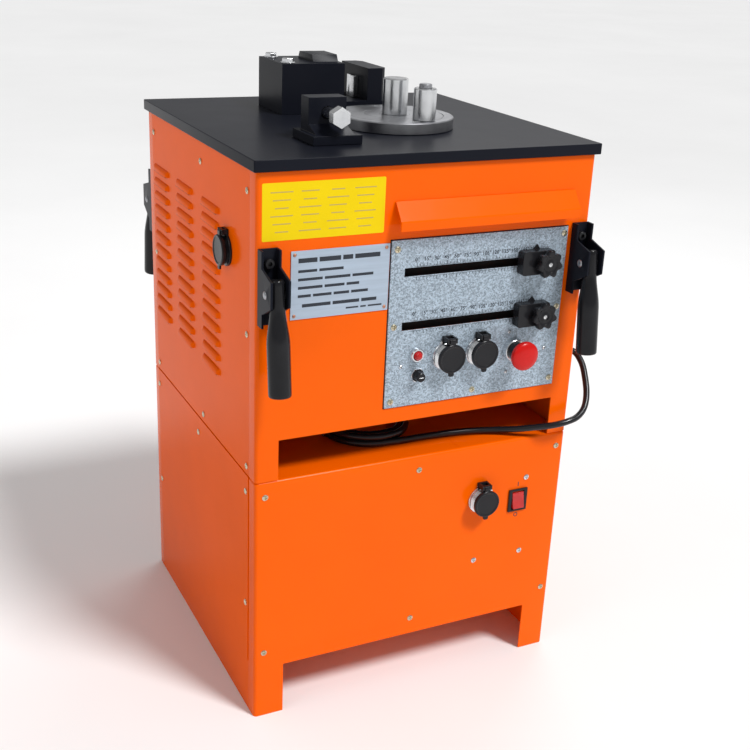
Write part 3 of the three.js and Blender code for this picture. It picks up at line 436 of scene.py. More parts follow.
def folded_sheet(low, high, leg, top_bend, openings=()):
    """A front sheet with two side returns: its plan is straight, quarter circle, straight, quarter
    circle, straight, and its top turns inwards by a quarter circle and a short flange."""
    radius = size("corner_radius")
    leg_width, leg_height = leg
    gap_half = HALF_WIDTH - leg_width
    face = sorted({-HALF_WIDTH + radius, HALF_WIDTH - radius, -gap_half, gap_half,
                   *np.linspace(-200, 200, 17), *[x for spot in openings for x in spot[:2]]})
    arc = np.linspace(0, math.pi / 2, 8)
    corner = np.c_[-HALF_WIDTH + radius - radius * np.cos(arc), FRONT + radius - radius * np.sin(arc)]
    half = np.concatenate([[(-HALF_WIDTH, FRONT + RETURN)], corner])
    middle = np.c_[face, np.full(len(face), FRONT)][1:-1]
    plan = np.concatenate([half, middle, half[::-1] * (-1, 1)])
    normal = np.concatenate([
        [(-1, 0)], np.c_[-np.cos(arc), -np.sin(arc)], np.tile((0, -1), (len(middle), 1)),
        np.c_[np.cos(arc[::-1]), -np.sin(arc[::-1])], [(1, 0)]])
    straight = sorted({low, low + leg_height, high - top_bend, *np.linspace(low, high - top_bend, 9),
                       *[z for spot in openings for z in spot[2:]]})
    bend = np.linspace(0, math.pi / 2, 7)[1:]
    inwards = np.concatenate([np.zeros(len(straight)), top_bend * (1 - np.cos(bend)),
                              [top_bend + TOP_FLANGE]])
    height = np.concatenate([straight, high - top_bend + top_bend * np.sin(bend), [high]])
    points = np.empty((len(height), len(plan), 3))
    points[..., :2] = plan - normal * inwards[:, None, None]
    points[..., 2] = height[:, None]
    x, y, z = np.moveaxis((points[:-1, :-1] + points[1:, 1:]) / 2, -1, 0)
    keep = ~((abs(x) < gap_half) & (z < low + leg_height))
    for x0, x1, z0, z1 in openings:
        keep &= ~((x > x0) & (x < x1) & (z > z0) & (z < z1) & (y < FRONT + 1))
    return points.reshape(-1, 3), grid_faces(len(height), len(plan), keep=keep)


def turned_round(part):
    """The same part on the other side: half a turn about the upright axis."""
    points, faces = part
    return points * (-1, -1, 1), faces


def mirrored_along(part):
    """Front and back exchanged, with the faces' corners put back in order."""
    points, faces = part
    return points * (1, -1, 1), [face[::-1] for face in faces]


def side_sheet(low, high, louvres, skirt=0.0):
    """A side sheet seen from outside, and dark boxes of painted shade in its louvre openings. Its relief
    is the product of a profile along each louvre and a quarter ellipse across it, which drops at its
    lower edge."""
    reach = -FRONT - RETURN - SIDE_GAP
    tall, long, out = size("louvre_height"), size("louvre_length"), size("louvre_out")
    count = bpy.context.scene.bender_sizes.louvre_rows
    starts = LOUVRE_STARTS if louvres else ()
    rows = [high - LOUVRES_DOWN - tall - size("louvre_pitch") * i for i in range(count if louvres else 0)]
    ends = np.array([-0.08, 0, 0.05, 0.12, 0.22, 0.36, 0.52, 0.7]) * tall
    hood = np.array([-0.12, -0.05, 0, 0.15, 0.4, 0.65, 0.82, 0.93, 1, 1.08]) * tall
    along, across = [-reach, reach], [low, high]
    for start in starts:
        along += [*(start + ends), *(start + long - ends)]
    for bottom in rows:
        across += [*(bottom + hood)]
    if skirt:
        across += [low + skirt, low + skirt + 1.4]
    u, v = np.array(sorted(along)), np.array(sorted(across))
    profile_u, profile_v = np.zeros_like(u), np.zeros_like(v)
    for start in starts:
        inset = np.minimum(u - start, start + long - u) / (0.7 * tall)
        profile_u = np.maximum(profile_u, np.sin(np.clip(inset, 0, 1) * math.pi / 2) ** 0.7)
    for bottom in rows:
        rise = (v - bottom) / tall
        inside = (rise > -1e-4) & (rise < 1.0001)
        profile_v = np.where(inside, np.sqrt(1 - np.clip(rise, 0, 1) ** 2), profile_v)
    proud = SIDE_PROUD * smooth_step(v, low + skirt, low + skirt + 1.4) if skirt else 0 * v
    points = np.empty((len(v), len(u), 3))
    points[..., 0], points[..., 1] = u[None], v[:, None]
    points[..., 2] = profile_v[:, None] * profile_u[None] * out + proud[:, None]
    # Painted shade: a dark box in each louvre's open mouth, where only shade falls.
    mouth_shade = [((start + long / 2, bottom - 0.4, out * 0.48), (long - tall, 0.7, out * 0.8))
              for start in starts for bottom in rows]
    return (points.reshape(-1, 3), grid_faces(len(v), len(u))), mouth_shade


def screw_head(radius, height=2.2):
    """A domed cross-recess head: height falls off with a power of the radius, and two crossed
    grooves are sunk in its middle."""
    share = np.array([0, 0.12, 0.24, 0.36, 0.5, 0.64, 0.8, 0.93, 1, 1])
    angle = np.linspace(0, 2 * math.pi, 32, endpoint=False)
    x, y = share[:, None] * np.cos(angle), share[:, None] * np.sin(angle)
    groove = np.maximum((abs(x) < 0.13) & (abs(y) < 0.56), (abs(y) < 0.13) & (abs(x) < 0.56))
    out = height * (1 - 0.55 * share[:, None] ** 2.5) - 0.55 * height * groove
    out[-1] = 0
    points = np.stack([x * radius, y * radius, out], -1)
    floor = list(range(9 * 32, 10 * 32))[::-1]
    return points.reshape(-1, 3), grid_faces(10, 32, wrap_columns=True) + [floor]


def screws(spots, side, surface, radius=None):
    """Heads at (right, up) spots on one side, whose surface lies that far out from the middle."""
    head = screw_head(radius or size("screw_radius"))
    right, up, out = (np.array(axis, float) for axis in SIDES[side])
    return [seat(head, right * u + up * v + out * surface, side) for u, v in spots]


def printed(name, bars, surface, look="printed_ink", slot=None):
    """Plain printed bars, ((right, up), (width, height)) each, on the front at that distance."""
    blocks = [((x, -surface - PRINT_DEPTH / 2, z), (width, PRINT_DEPTH, height))
              for (x, z), (width, height) in bars]
    return add_piece(name, boxes(blocks), look, slot=slot)


class BENDER_OT_stage(bpy.types.Operator):
    """Pale floor, soft studio light and the camera"""
    bl_idname = "bender.stage"
    bl_label = "Stage"

    def execute(self, context):
        half_floor = 40
        span = np.linspace(-half_floor, half_floor, 13)
        across, along = np.meshgrid(span, span)
        points = np.stack([across, along, 0 * across], -1).reshape(-1, 3)
        mesh = bpy.data.meshes.new("floor")
        mesh.from_pydata(points.tolist(), [], grid_faces(13, 13))
        floor = bpy.data.objects.new("floor", mesh)
        context.collection.objects.link(floor)
        mesh.materials.append(finish("pale_floor"))
        self.light(context, "sky", "SUN", (1.0, -1.75, 3.1), 0.24, 2.6)
        self.light(context, "left_fill", "AREA", (-2.3, -0.7, 2.5), 1.4, 9)
        self.light(context, "rim", "AREA", (1.5, 1.6, 2.4), 1.6, 16)
        world = bpy.data.worlds.new("studio")
        world.use_nodes = True
        backdrop = world.node_tree.nodes["Background"]
        backdrop.inputs["Color"].default_value = (1, 1, 1, 1)
        backdrop.inputs["Strength"].default_value = 0.36
        context.scene.world = world
        context.scene.view_settings.view_transform = "Standard"
        self.camera(context)
        return {"FINISHED"}

    def light(self, context, name, kind, place, spread, power):
        """A lamp at a place, aimed at the machine; spread is a width, or the sun's angle."""
        data = bpy.data.lights.new(name, kind)
        data.energy = power
        setattr(data, "angle" if kind == "SUN" else "size", spread)
        lamp = bpy.data.objects.new(name, data)
        aim = Vector((0, 0, 0.45)) - Vector(place)
        turn = aim.to_track_quat("-Z", "Y").to_matrix().to_4x4()
        lamp.matrix_world = Matrix.Translation(place) @ turn
        context.collection.objects.link(lamp)

    def camera(self, context):
        """Looks along azimuth and elevation, then rolls a little about that line."""
        azimuth, elevation, roll = 0.4694, 0.3769, 0.0465
        place = (-0.7347, -1.5348, 1.0893)
        ahead = Vector((math.sin(azimuth) * math.cos(elevation),
                        math.cos(azimuth) * math.cos(elevation), -math.sin(elevation)))
        level = ahead.cross(Vector((0, 0, 1))).normalized()
        upright = level.cross(ahead)
        right = math.cos(roll) * level + math.sin(roll) * upright
        up = math.cos(roll) * upright - math.sin(roll) * level
        turn = Matrix((right, up, -ahead)).transposed().to_4x4()
        data = bpy.data.cameras.new("camera")
        data.lens = 55.25
        data.clip_start = 0.05
        camera = bpy.data.objects.new("camera", data)
        camera.matrix_world = Matrix.Translation(place) @ turn
        context.collection.objects.link(camera)
        context.scene.camera = camera


# Route from the gland round the corner to the coil.
GLAND_END = (270.3, -185, 488)
CABLE_ROUTE = [
    (279, -185, 488), (290, -189, 484), (294, -203, 472), (290, -222, 453), (282, -240, 434),
    (270, -253, 419), (254, -260, 410), (235, -262, 406), (214, -258, 402), (192, -246, 397),
    (168, -230, 391), (142, -214, 387), (112, -203, 386), (80, -197, 385.7), (52, -194.5, 385.5),
    (25, -193.5, 385.5), (1.5, -193.5, 385.5),
]
COIL_CENTRE = (-35, -128)
COIL_FLOOR = 386.3
COIL_RADIUS = 65
COIL_STEP = 10
COIL_TURNS = 4.5
PER_SPAN = 8
RELIEF_LENGTH, RELIEF_UP, RIDGE_PITCH = 21, 7, 3


def coil_points():
    """Turns clockwise from the front: the radius steps in twice, then the cable climbs one step on
    its inner turn, and the radius steps out twice above."""
    turn = np.linspace(0, COIL_TURNS, int(COIL_TURNS * 40) + 1)
    radius = COIL_RADIUS - COIL_STEP * (
        smooth_step(turn, 0.7, 0.95) + smooth_step(turn, 1.7, 1.95)
        - smooth_step(turn, 2.7, 2.95) - smooth_step(turn, 3.7, 3.95))
    angle = -math.pi / 2 - 2 * math.pi * turn
    height = COIL_FLOOR + 1.01 * COIL_STEP * smooth_step(turn, 2.2, 2.5)
    return np.stack([COIL_CENTRE[0] + radius * np.cos(angle),
                     COIL_CENTRE[1] + radius * np.sin(angle), height], -1)


def smooth_route(points):
    """Cubic Hermite curve through the points, with time as the root of each chord and slopes from
    the neighbours on both sides."""
    chord = np.linalg.norm(np.diff(points, axis=0), axis=1) ** 0.5
    time = np.concatenate([[0], np.cumsum(chord)])
    slope = np.gradient(points, time, axis=0)
    fine = np.interp(np.arange(PER_SPAN * (len(points) - 1) + 1) / PER_SPAN,
                     np.arange(len(points)), time)
    span = np.clip(np.searchsorted(time, fine, side="right") - 1, 0, len(chord) - 1)
    h = (time[span + 1] - time[span])[:, None]
    s = ((fine - time[span]) / h[:, 0])[:, None]
    return ((1 + 2 * s) * (1 - s) ** 2 * points[span] + s * (1 - s) ** 2 * h * slope[span]
            + s * s * (3 - 2 * s) * points[span + 1] + s * s * (s - 1) * h * slope[span + 1])


class BENDER_OT_mains_cable(bpy.types.Operator):
    """The mains cable from its gland to its coil, with the tie, the plug and the gland"""
    bl_idname = "bender.mains_cable"
    bl_label = "Mains cable"

    def execute(self, context):
        coil = coil_points()
        low, high = box_of("mains_plug")
        relief = np.array([low[0] + 1, (low[1] + high[1]) / 2, low[2] + RELIEF_UP])
        share = np.array([0.25, 0.5, 0.75, 1.0])
        drop = share * share * (3 - 2 * share)
        tail = coil[-1] + (relief - coil[-1]) * np.c_[share, share, drop]
        lead = np.array([GLAND_END, *CABLE_ROUTE])
        line = MM * np.concatenate([
            smooth_route(np.concatenate([lead, coil[:3]]))[:-2 * PER_SPAN], coil[1:-1],
            smooth_route(np.concatenate([coil[-2:], tail]))[PER_SPAN:]])
        diameter = context.scene.bender_sizes.cable
        data = bpy.data.curves.new("mains_lead", "CURVE")
        data.dimensions = "3D"
        data.bevel_depth = diameter / 2
        data.bevel_resolution = 5
        data.use_fill_caps = True
        spline = data.splines.new("POLY")
        spline.points.add(len(line) - 1)
        spline.points.foreach_set("co", np.c_[line, np.ones(len(line))].ravel())
        spline.use_smooth = True
        data.materials.append(finish("cable_sheath"))
        cable = bpy.data.objects.new("mains_lead", data)
        context.collection.objects.link(cable)
        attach(cable, CABINET)
        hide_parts("mains_cable", "cable_coil")
        tie = self.tie()
        plug = self.plug(low, high)
        self.gland()
        return {"FINISHED"}

    def tie(self):
        """A strap round the coil's section: a rounded rectangle carried along the coil."""
        inner = rounded_rectangle(31.4, 21.4, 5.6, 8)
        outer = rounded_rectangle(33.0, 23.0, 6.4, 8)
        rings = np.stack([np.c_[loop, np.full(len(loop), out)]
                          for loop, out in ((inner, -3.5), (outer, -3.5), (outer, 3.5),
                                            (inner, 3.5))])
        faces = grid_faces(4, len(inner), wrap_rows=True, wrap_columns=True)
        centre = (COIL_CENTRE[0] - COIL_RADIUS + COIL_STEP, COIL_CENTRE[1],
                  COIL_FLOOR + COIL_STEP / 2)
        return add_piece("coil_tie", seat((rings.reshape(-1, 3), faces), centre, "front"),
                         "cable_sheath", bevel=0.3)

    def plug(self, low, high):
        """A rounded body with a ringed relief, and two flat pins."""
        middle, height = (low[1] + high[1]) / 2, high[2] - low[2]
        at = (high[0] - 40, middle, low[2] + height / 2)
        body = seat(prism(rounded_rectangle(28, height, 6), -22, 22), at, "right")
        metres = np.linspace(0, RELIEF_LENGTH * MM, 29)
        ridge = np.cos(metres / (RIDGE_PITCH * MM) * 2 * math.pi) > 0
        out = metres / MM
        radius = 7 - 1.4 * out / RELIEF_LENGTH - 0.6 * ridge
        relief = lathe([(0, -1), *zip(radius, out), (0, out[-1])], 32)
        relief = seat(relief, (at[0] - RELIEF_LENGTH, middle, low[2] + RELIEF_UP), "left")
        plug = add_piece("fine_mains_plug", [body, relief], "cable_sheath", bevel=1.2, segments=3)
        pins = boxes([((at[0] + 30.5, middle + y, low[2] + 10.5), (19, 1.6, 6.5))
                      for y in (-6.5, 6.5)])
        add_piece("plug_pins", pins, "bright_steel", bevel=0.4)
        return plug

    def gland(self):
        at = (HALF_WIDTH, *middle_of("cable_gland")[1:])
        out = np.linspace(7, 20, 27)
        radius = 10.5 - 3.6 * (out - 7) / 13 - 0.5 * (np.sin(out * 1.6) > 0.2)
        parts = [prism(HEXAGON * 14.5, 0.2, 7),
                 lathe([(0, 6.5), *zip(radius, out), (0, out[-1])], 32), tube(0, 9, -6, 0.3)]
        add_piece("fine_cable_gland", seats(parts, at, "right"), "cable_sheath", bevel=0.5)


class BENDER_OT_base_cabinet(bpy.types.Operator):
    """The lower cabinet's sheets, plates and transformer"""
    bl_idname = "bender.base_cabinet"
    bl_label = "Lower cabinet"

    def execute(self, context):
        low, high, wall = BASE_LOW[2], BASE_HIGH[2], size("sheet")
        sheet = folded_sheet(low, high, BASE_LEG, size("top_bend"))
        for name, part in (("front", sheet), ("back", turned_round(sheet))):
            add_piece(f"fine_base_{name}_panel", part, "orange_enamel", wall=wall, bevel=0.3,
                      outward=False)
        cover, _ = side_sheet(low, high - 0.2, False, BASE_LEG[1] + 2)
        for side, x in (("left", -HALF_WIDTH), ("right", HALF_WIDTH)):
            add_piece(f"fine_base_{side}_panel", seat(cover, (x, 0, 0), side), "side_enamel",
                      wall=wall, bevel=0.4, outward=False)
        self.deck(high)
        recoat("orange_enamel", "base_floor_plate")
        recoat("laminations", "transformer")
        return {"FINISHED"}

    def deck(self, top):
        """The top plate, just under the bends round it, with one folded seam across."""
        inset = size("top_bend") + 0.6
        width, depth = 2 * (HALF_WIDTH - inset), 2 * (-FRONT - inset)
        plate = prism(rounded_rectangle(width, depth, 3), top - 2.2, top - 0.35)
        seam = boxes([((68, 0, top - 0.3), (1.2, depth, 0.5))])
        add_piece("fine_base_top_plate", [plate, seam], "orange_enamel", bevel=0.15)


class BENDER_OT_upper_cabinet(bpy.types.Operator):
    """The upper cabinet's front, back and louvred side sheets"""
    bl_idname = "bender.upper_cabinet"
    bl_label = "Upper cabinet"

    def execute(self, context):
        low, high, wall = BODY_LOW[2], BODY_HIGH[2], size("sheet")
        slots = [(*SLOT_ENDS, z - SLOT_HALF, z + SLOT_HALF) for z in SLOT_HEIGHTS]
        front = folded_sheet(low, high, BODY_LEG, UPPER_BEND, slots)
        back = turned_round(folded_sheet(low, high, BODY_LEG, UPPER_BEND))
        for name, part in (("front", front), ("back", back)):
            add_piece(f"fine_{name}_panel", part, "orange_enamel", wall=wall, bevel=0.3,
                      outward=False)
        cover, mouth_shade = side_sheet(low, high - 0.2, True)
        for side, x in (("left", -HALF_WIDTH), ("right", HALF_WIDTH)):
            parts = seats((cover, boxes(mouth_shade)), (x, 0, 0), side)
            if side == "right":
                parts = [mirrored_along(part) for part in parts]
            add_piece(f"fine_{side}_panel", parts[0], "side_enamel", wall=wall, bevel=0.3,
                      outward=False)
            # Painted shade: dark boxes in the louvre openings.
            add_piece("louvre_mouths_" + side, parts[1], "dark_void")
        # Painted shade: dark strips behind the scale slots, where only shade falls inside the cabinet.
        middle = sum(SLOT_ENDS) / 2
        shade_strips = boxes([((middle, FRONT + 14, z), (262, 1.5, 34)) for z in SLOT_HEIGHTS])
        add_piece("slot_backing", shade_strips, "dark_void")
        return {"FINISHED"}


class BENDER_OT_cabinet_screws(bpy.types.Operator):
    """The cabinet's cross-recess screws, front, back and sides"""
    bl_idname = "bender.cabinet_screws"
    bl_label = "Cabinet screws"

    def execute(self, context):
        low, high, body_low, body_high = BASE_LOW[2], BASE_HIGH[2], BODY_LOW[2], BODY_HIGH[2]
        columns = (-235.5, 0, 235.5)
        face = [(x, z) for x in columns for z in (low + 108.5, high - 22.5)]
        upper = [(x, z) for x in columns for z in (body_low + 80, body_high - 24)]
        base_side = [(u, high - 25) for u in (-208, 0, 208)]
        base_side += [(u, low + 178) for u in (-208, 208)]
        body_side = [(u, z) for u in (-208, 22, 208) for z in (body_low + 12.5, body_high - 29)]
        body_side += [(u, body_low + 202) for u in (-208, 208)]
        heads = screws(face, "front", -FRONT) + screws(face + upper, "back", -FRONT)
        for side in ("left", "right"):
            heads += screws(base_side, side, HALF_WIDTH + SIDE_PROUD)
            heads += screws(body_side, side, HALF_WIDTH)
        add_piece("cabinet_screws", heads, "yellow_zinc")
        tray = [(x, z) for x in (104.8, 186.7) for z in (185.8, 312.8)]
        add_piece("tray_screws", screws(tray, "front", -FRONT), "bright_steel")
        return {"FINISHED"}


class BENDER_OT_table(bpy.types.Operator):
    """The black table plate"""
    bl_idname = "bender.table"
    bl_label = "Table"

    def execute(self, context):
        low, high = box_of("table_plate")
        plate = prism(rounded_rectangle(*(high - low)[:2], 2.5), low[2], high[2])
        add_piece("fine_table_plate", plate, "black_enamel", bevel=1.0, segments=3)
        return {"FINISHED"}


class BENDER_OT_visor(bpy.types.Operator):
    """The folded rain visor over the control panel"""
    bl_idname = "bender.visor"
    bl_label = "Rain visor"

    def execute(self, context):
        """Its section: a lip, an arc and a slope up to the wall, carried straight across."""
        low, high = box_of("visor")
        radius, drop = 5, 22
        slope = math.atan2(drop, high[1] - low[1])
        arc = np.linspace(0, math.pi / 2 - slope, 8)
        centre = np.array([low[1] + radius, high[2] - drop - 3.2])
        bend = centre + radius * np.c_[-np.cos(arc), np.sin(arc)]
        profile = np.concatenate([[(low[1], low[2])], bend, [(high[1] - 1.5, high[2])]])
        across = np.linspace(low[0], high[0], 12)
        points = np.empty((len(profile), len(across), 3))
        points[..., 0] = across
        points[..., 1:] = profile[:, None]
        add_piece("fine_visor", (points.reshape(-1, 3), grid_faces(len(profile), len(across))),
                  "orange_enamel", wall=size("sheet"), bevel=0.3, outward=False)
        return {"FINISHED"}


class BENDER_OT_control_panel(bpy.types.Operator):
    """The galvanised control panel with its screws, the nameplate and the yellow label"""
    bl_idname = "bender.control_panel"
    bl_label = "Control panel"

    def execute(self, context):
        rounded_copy("control_panel", "spangled_sheet", bevel=0.4)
        left, bottom = PANEL_LOW[0], PANEL_LOW[2]
        middle, span = (PANEL_LOW + PANEL_HIGH) / 2, PANEL_HIGH - PANEL_LOW
        # Painted shade: a thin dark strip laid on the cabinet round the panel, showing as a dark line
        # where the panel's shade falls.
        rim, y = 2.4, FRONT - 0.15
        edge = [((middle[0], y, z), (span[0] + rim, 0.2, rim)) for z in (bottom, PANEL_HIGH[2])]
        edge += [((x, y, middle[2]), (rim, 0.2, span[2] + rim)) for x in (left, PANEL_HIGH[0])]
        add_piece("panel_edge", boxes(edge), "dark_void")
        corners = [(8.8, 225.7), (271, 228.5), (8.6, 118), (270, 121), (9, 9), (269.5, 11), (139, 10)]
        small = [(84.8, 87.7), (194.2, 90.6), (255.9, 59.1), (22.6, 59.3), (194.1, 29.8)]
        for name, places, look, radius in (("panel_screws", corners, "yellow_zinc", None),
                                           ("flange_screws", small, "bright_steel", 2.6)):
            spots = [(left + u, bottom + v) for u, v in places]
            add_piece(name, screws(spots, "front", -PANEL_FACE, radius), look)
        self.nameplate()
        self.label()
        return {"FINISHED"}

    def nameplate(self):
        low, high = box_of("nameplate")
        rounded_copy("nameplate", "plate_metal", bevel=0.25)
        head = lathe([(0, 1.2), (1.4, 1.05), (2.2, 0.5), (size("rivet_radius"), 0), (0, 0)], 20)
        parts = [seat(head, (x, low[1], z), "front") for x in (low[0] + 5, high[0] - 5)
                 for z in (low[2] + 5, high[2] - 5)]
        add_piece("nameplate_rivets", parts, "rivet_copper")
        # Distance down, height and start of each printed row, and the lengths of its bars
        rows = ((13, 6.0, 10, (26, 30, 14, 36)), (27, 3.6, 10, (26, 34)),
                (38, 3.6, 10, (34, 36, 30)), (49, 3.6, 10, (34, 28, 18)),
                (60, 3.6, 10, (18, 26, 22, 24)), (73, 4.4, 16, (40, 38, 22)),
                (82, 2.2, 78, (18, 8, 20)))
        lines = []
        for down, tall, start, words in rows:
            edges = start + np.cumsum([0, *[word + 3 for word in words]])
            lines += [((low[0] + edge + word / 2, high[2] - down), (word, tall))
                      for edge, word in zip(edges, words)]
        printed("nameplate_lines", lines, -low[1])

    def label(self):
        left, right, low, high = -243, -75, 713, 786
        sheet = prism(rounded_rectangle(right - left, high - low, 2), 0, 0.3)
        sheet = seat(sheet, ((left + right) / 2, FRONT, (low + high) / 2), "front")
        add_piece("yellow_label", sheet, "yellow_vinyl")
        bars = [((left + 26 + 38 * column, high - 12 - 10 * row),
                 (30 - 6 * ((row + column) % 3), 1.4)) for row in range(6) for column in range(4)]
        printed("label_bars", bars, -FRONT + 0.3, "grey_ink")


class BENDER_OT_angle_scales(bpy.types.Operator):
    """Tick marks and degree numbers along both slots"""
    bl_idname = "bender.angle_scales"
    bl_label = "Angle scales"

    def execute(self, context):
        start = SLIDER_AT - SLIDER_TRAVEL
        ticks, numbers = [], []
        for height in SLOT_HEIGHTS:
            for i in range(TICK_STEPS + 1):
                x = start + SLIDER_TRAVEL * i / TICK_STEPS
                long = 4.4 if i % 3 == 0 else 2.6
                ticks += [((x, height + way * (7.6 + long / 2)), (0.7, long)) for way in (1, -1)]
            ticks += [((SLIDER_AT - SLIDER_TRAVEL / 2, height + way * 7.3),
                       (SLIDER_TRAVEL + 8, 0.4)) for way in (1, -1)]
            for i in range(NUMBER_STEPS + 1):
                x = start + SLIDER_TRAVEL * i / NUMBER_STEPS
                text = f"{180 * i // NUMBER_STEPS}°"
                numbers.append(self.figures(context, text, (x, PANEL_FACE, height + 14.5)))
        printed("scale_ticks", ticks, -PANEL_FACE, slot="galvanised_steel")
        add_piece("scale_numbers", numbers, "printed_ink", slot="galvanised_steel")
        return {"FINISHED"}

    def figures(self, context, text, at):
        """One number as a thin solid, made a mesh and then set in its place."""
        data = bpy.data.curves.new("figures", "FONT")
        data.body = text
        data.size = 7.6 * MM
        data.offset = 0.12 * MM
        data.align_x = "CENTER"
        data.extrude = 0.06 * MM
        data.resolution_u = 3
        holder = bpy.data.objects.new("figures", data)
        context.collection.objects.link(holder)
        mesh = bpy.data.meshes.new_from_object(holder.evaluated_get(
            context.evaluated_depsgraph_get()))
        points = np.empty(3 * len(mesh.vertices))
        mesh.vertices.foreach_get("co", points)
        faces = [list(face.vertices) for face in mesh.polygons]
        bpy.data.objects.remove(holder)
        bpy.data.meshes.remove(mesh)
        return seat((points.reshape(-1, 3) / MM, faces), at, "front")


class BENDER_OT_angle_stops(bpy.types.Operator):
    """The two sliding stops with their star knobs"""
    bl_idname = "bender.angle_stops"
    bl_label = "Angle stops"

    def execute(self, context):
        for letter, height in zip("ab", SLOT_HEIGHTS):
            front = box_of(f"slider_block_{letter}")[0][1]
            parts = [prism(rounded_rectangle(*SLIDER_SPAN, 4), 0.35, 15.3),
                     prism([(-3, 15.9), (9, 15.9), (3, 24)], 0.35, 3.3),
                     boxes([((0, 0, -2), (36, 11.2, 5.4)), ((0, 0, -6.7), (44, 22, 4))])]
            add_piece(f"fine_slider_block_{letter}",
                      seats(parts, (SLIDER_AT, PANEL_FACE, height), "front"), "moulded_black",
                      f"stop_{letter}", bevel=0.9, segments=3)
            self.knob(letter, (SLIDER_AT + 11, front - 0.3, height))
        return {"FINISHED"}

    def knob(self, letter, at):
        """A star: the radius swings with the cosine of seven times the angle, less towards the
        middle; the height is a rim, a dish and a button."""
        big = size("knob_radius")
        share = np.array([0.58, 0.6, 0.6, 0.93, 0.985, 1.0, 1.0, 0.985, 0.94, 0.86, 0.62, 0.58, 0.52,
                          0.3, 0.27, 0.0])
        out = np.array([0, 0.1, 3.0, 3.0, 3.5, 4.4, 11.2, 12.3, 12.9, 13.0, 12.7, 12.2, 11.6, 11.6,
                        12.1, 12.2])
        lobe = np.array([0, 0, 0, 1, 1, 1, 1, 1, 1, 0.9, 0.3, 0, 0, 0, 0, 0])
        angle = np.linspace(0, 2 * math.pi, 112, endpoint=False)
        radius = share[:, None] * (big - lobe[:, None] * 2.3 * (1 - np.cos(7 * angle)))
        points = np.stack([radius * np.sin(angle), radius * np.cos(angle),
                           np.repeat(out[:, None], len(angle), 1)], -1)
        star = (points.reshape(-1, 3), grid_faces(len(out), len(angle), wrap_columns=True))
        back = tube(0, share[0] * big, 0, 0.4)
        add_piece(f"fine_slider_knob_{letter}", seats((star, back), at, "front"), "moulded_black",
                  f"knob_{letter}", sharp=50)
        tip = (at[0], at[1] - 11.8, at[2])
        add_piece(f"knob_screw_{letter}", seat(screw_head(3, 1.1), tip, "front"), "bright_steel",
                  f"knob_{letter}")


class BENDER_OT_indicators(bpy.types.Operator):
    """The lamp and the fuse holder"""
    bl_idname = "bender.indicators"
    bl_label = "Lamp and fuse"

    def execute(self, context):
        for name, make in (("power_lamp", self.lamp), ("fuse_holder", self.fuse)):
            x, _, z = middle_of(name)
            make((x, PANEL_FACE, z))
        return {"FINISHED"}

    def lamp(self, at):
        bezel = lathe([(0, 1), (6.6, 1), (6.6, 5.6), (7.4, 6.8), (8.8, 6.6), (10.3, 4.2), (10.6, 0),
                       (0, 0)])
        add_piece("lamp_bezel", seat(bezel, at, "front"), "bright_steel")
        arc = np.linspace(0, math.pi / 2, 9)
        dome = np.c_[6.4 * np.sin(arc), 5.6 + 8.2 * np.cos(arc)]
        lens = lathe([*dome, (6.4, 2), (0, 2)], 12)
        add_piece("fine_power_lamp", seat(lens, at, "front"), "clear_red", sharp=12)

    def fuse(self, at):
        holder = lathe([(0, 15), (5.6, 15), (6.5, 14.2), (7.4, 5), (9.2, 4.2), (9.5, 0), (0, 0)])
        add_piece("fine_fuse_holder", seat(holder, at, "front"), "moulded_black")
        nut = lathe([(7.6, 4.2), (10.4, 4.2), (11.2, 3), (11.2, 0.1), (7.6, 0.1), (7.6, 4.2)], 6)
        slot = boxes([((0, 0, 15.1), (7, 1.2, 0.5))])
        add_piece("fuse_nut", seats((nut, slot), at, "front"), "bright_steel", bevel=0.2)


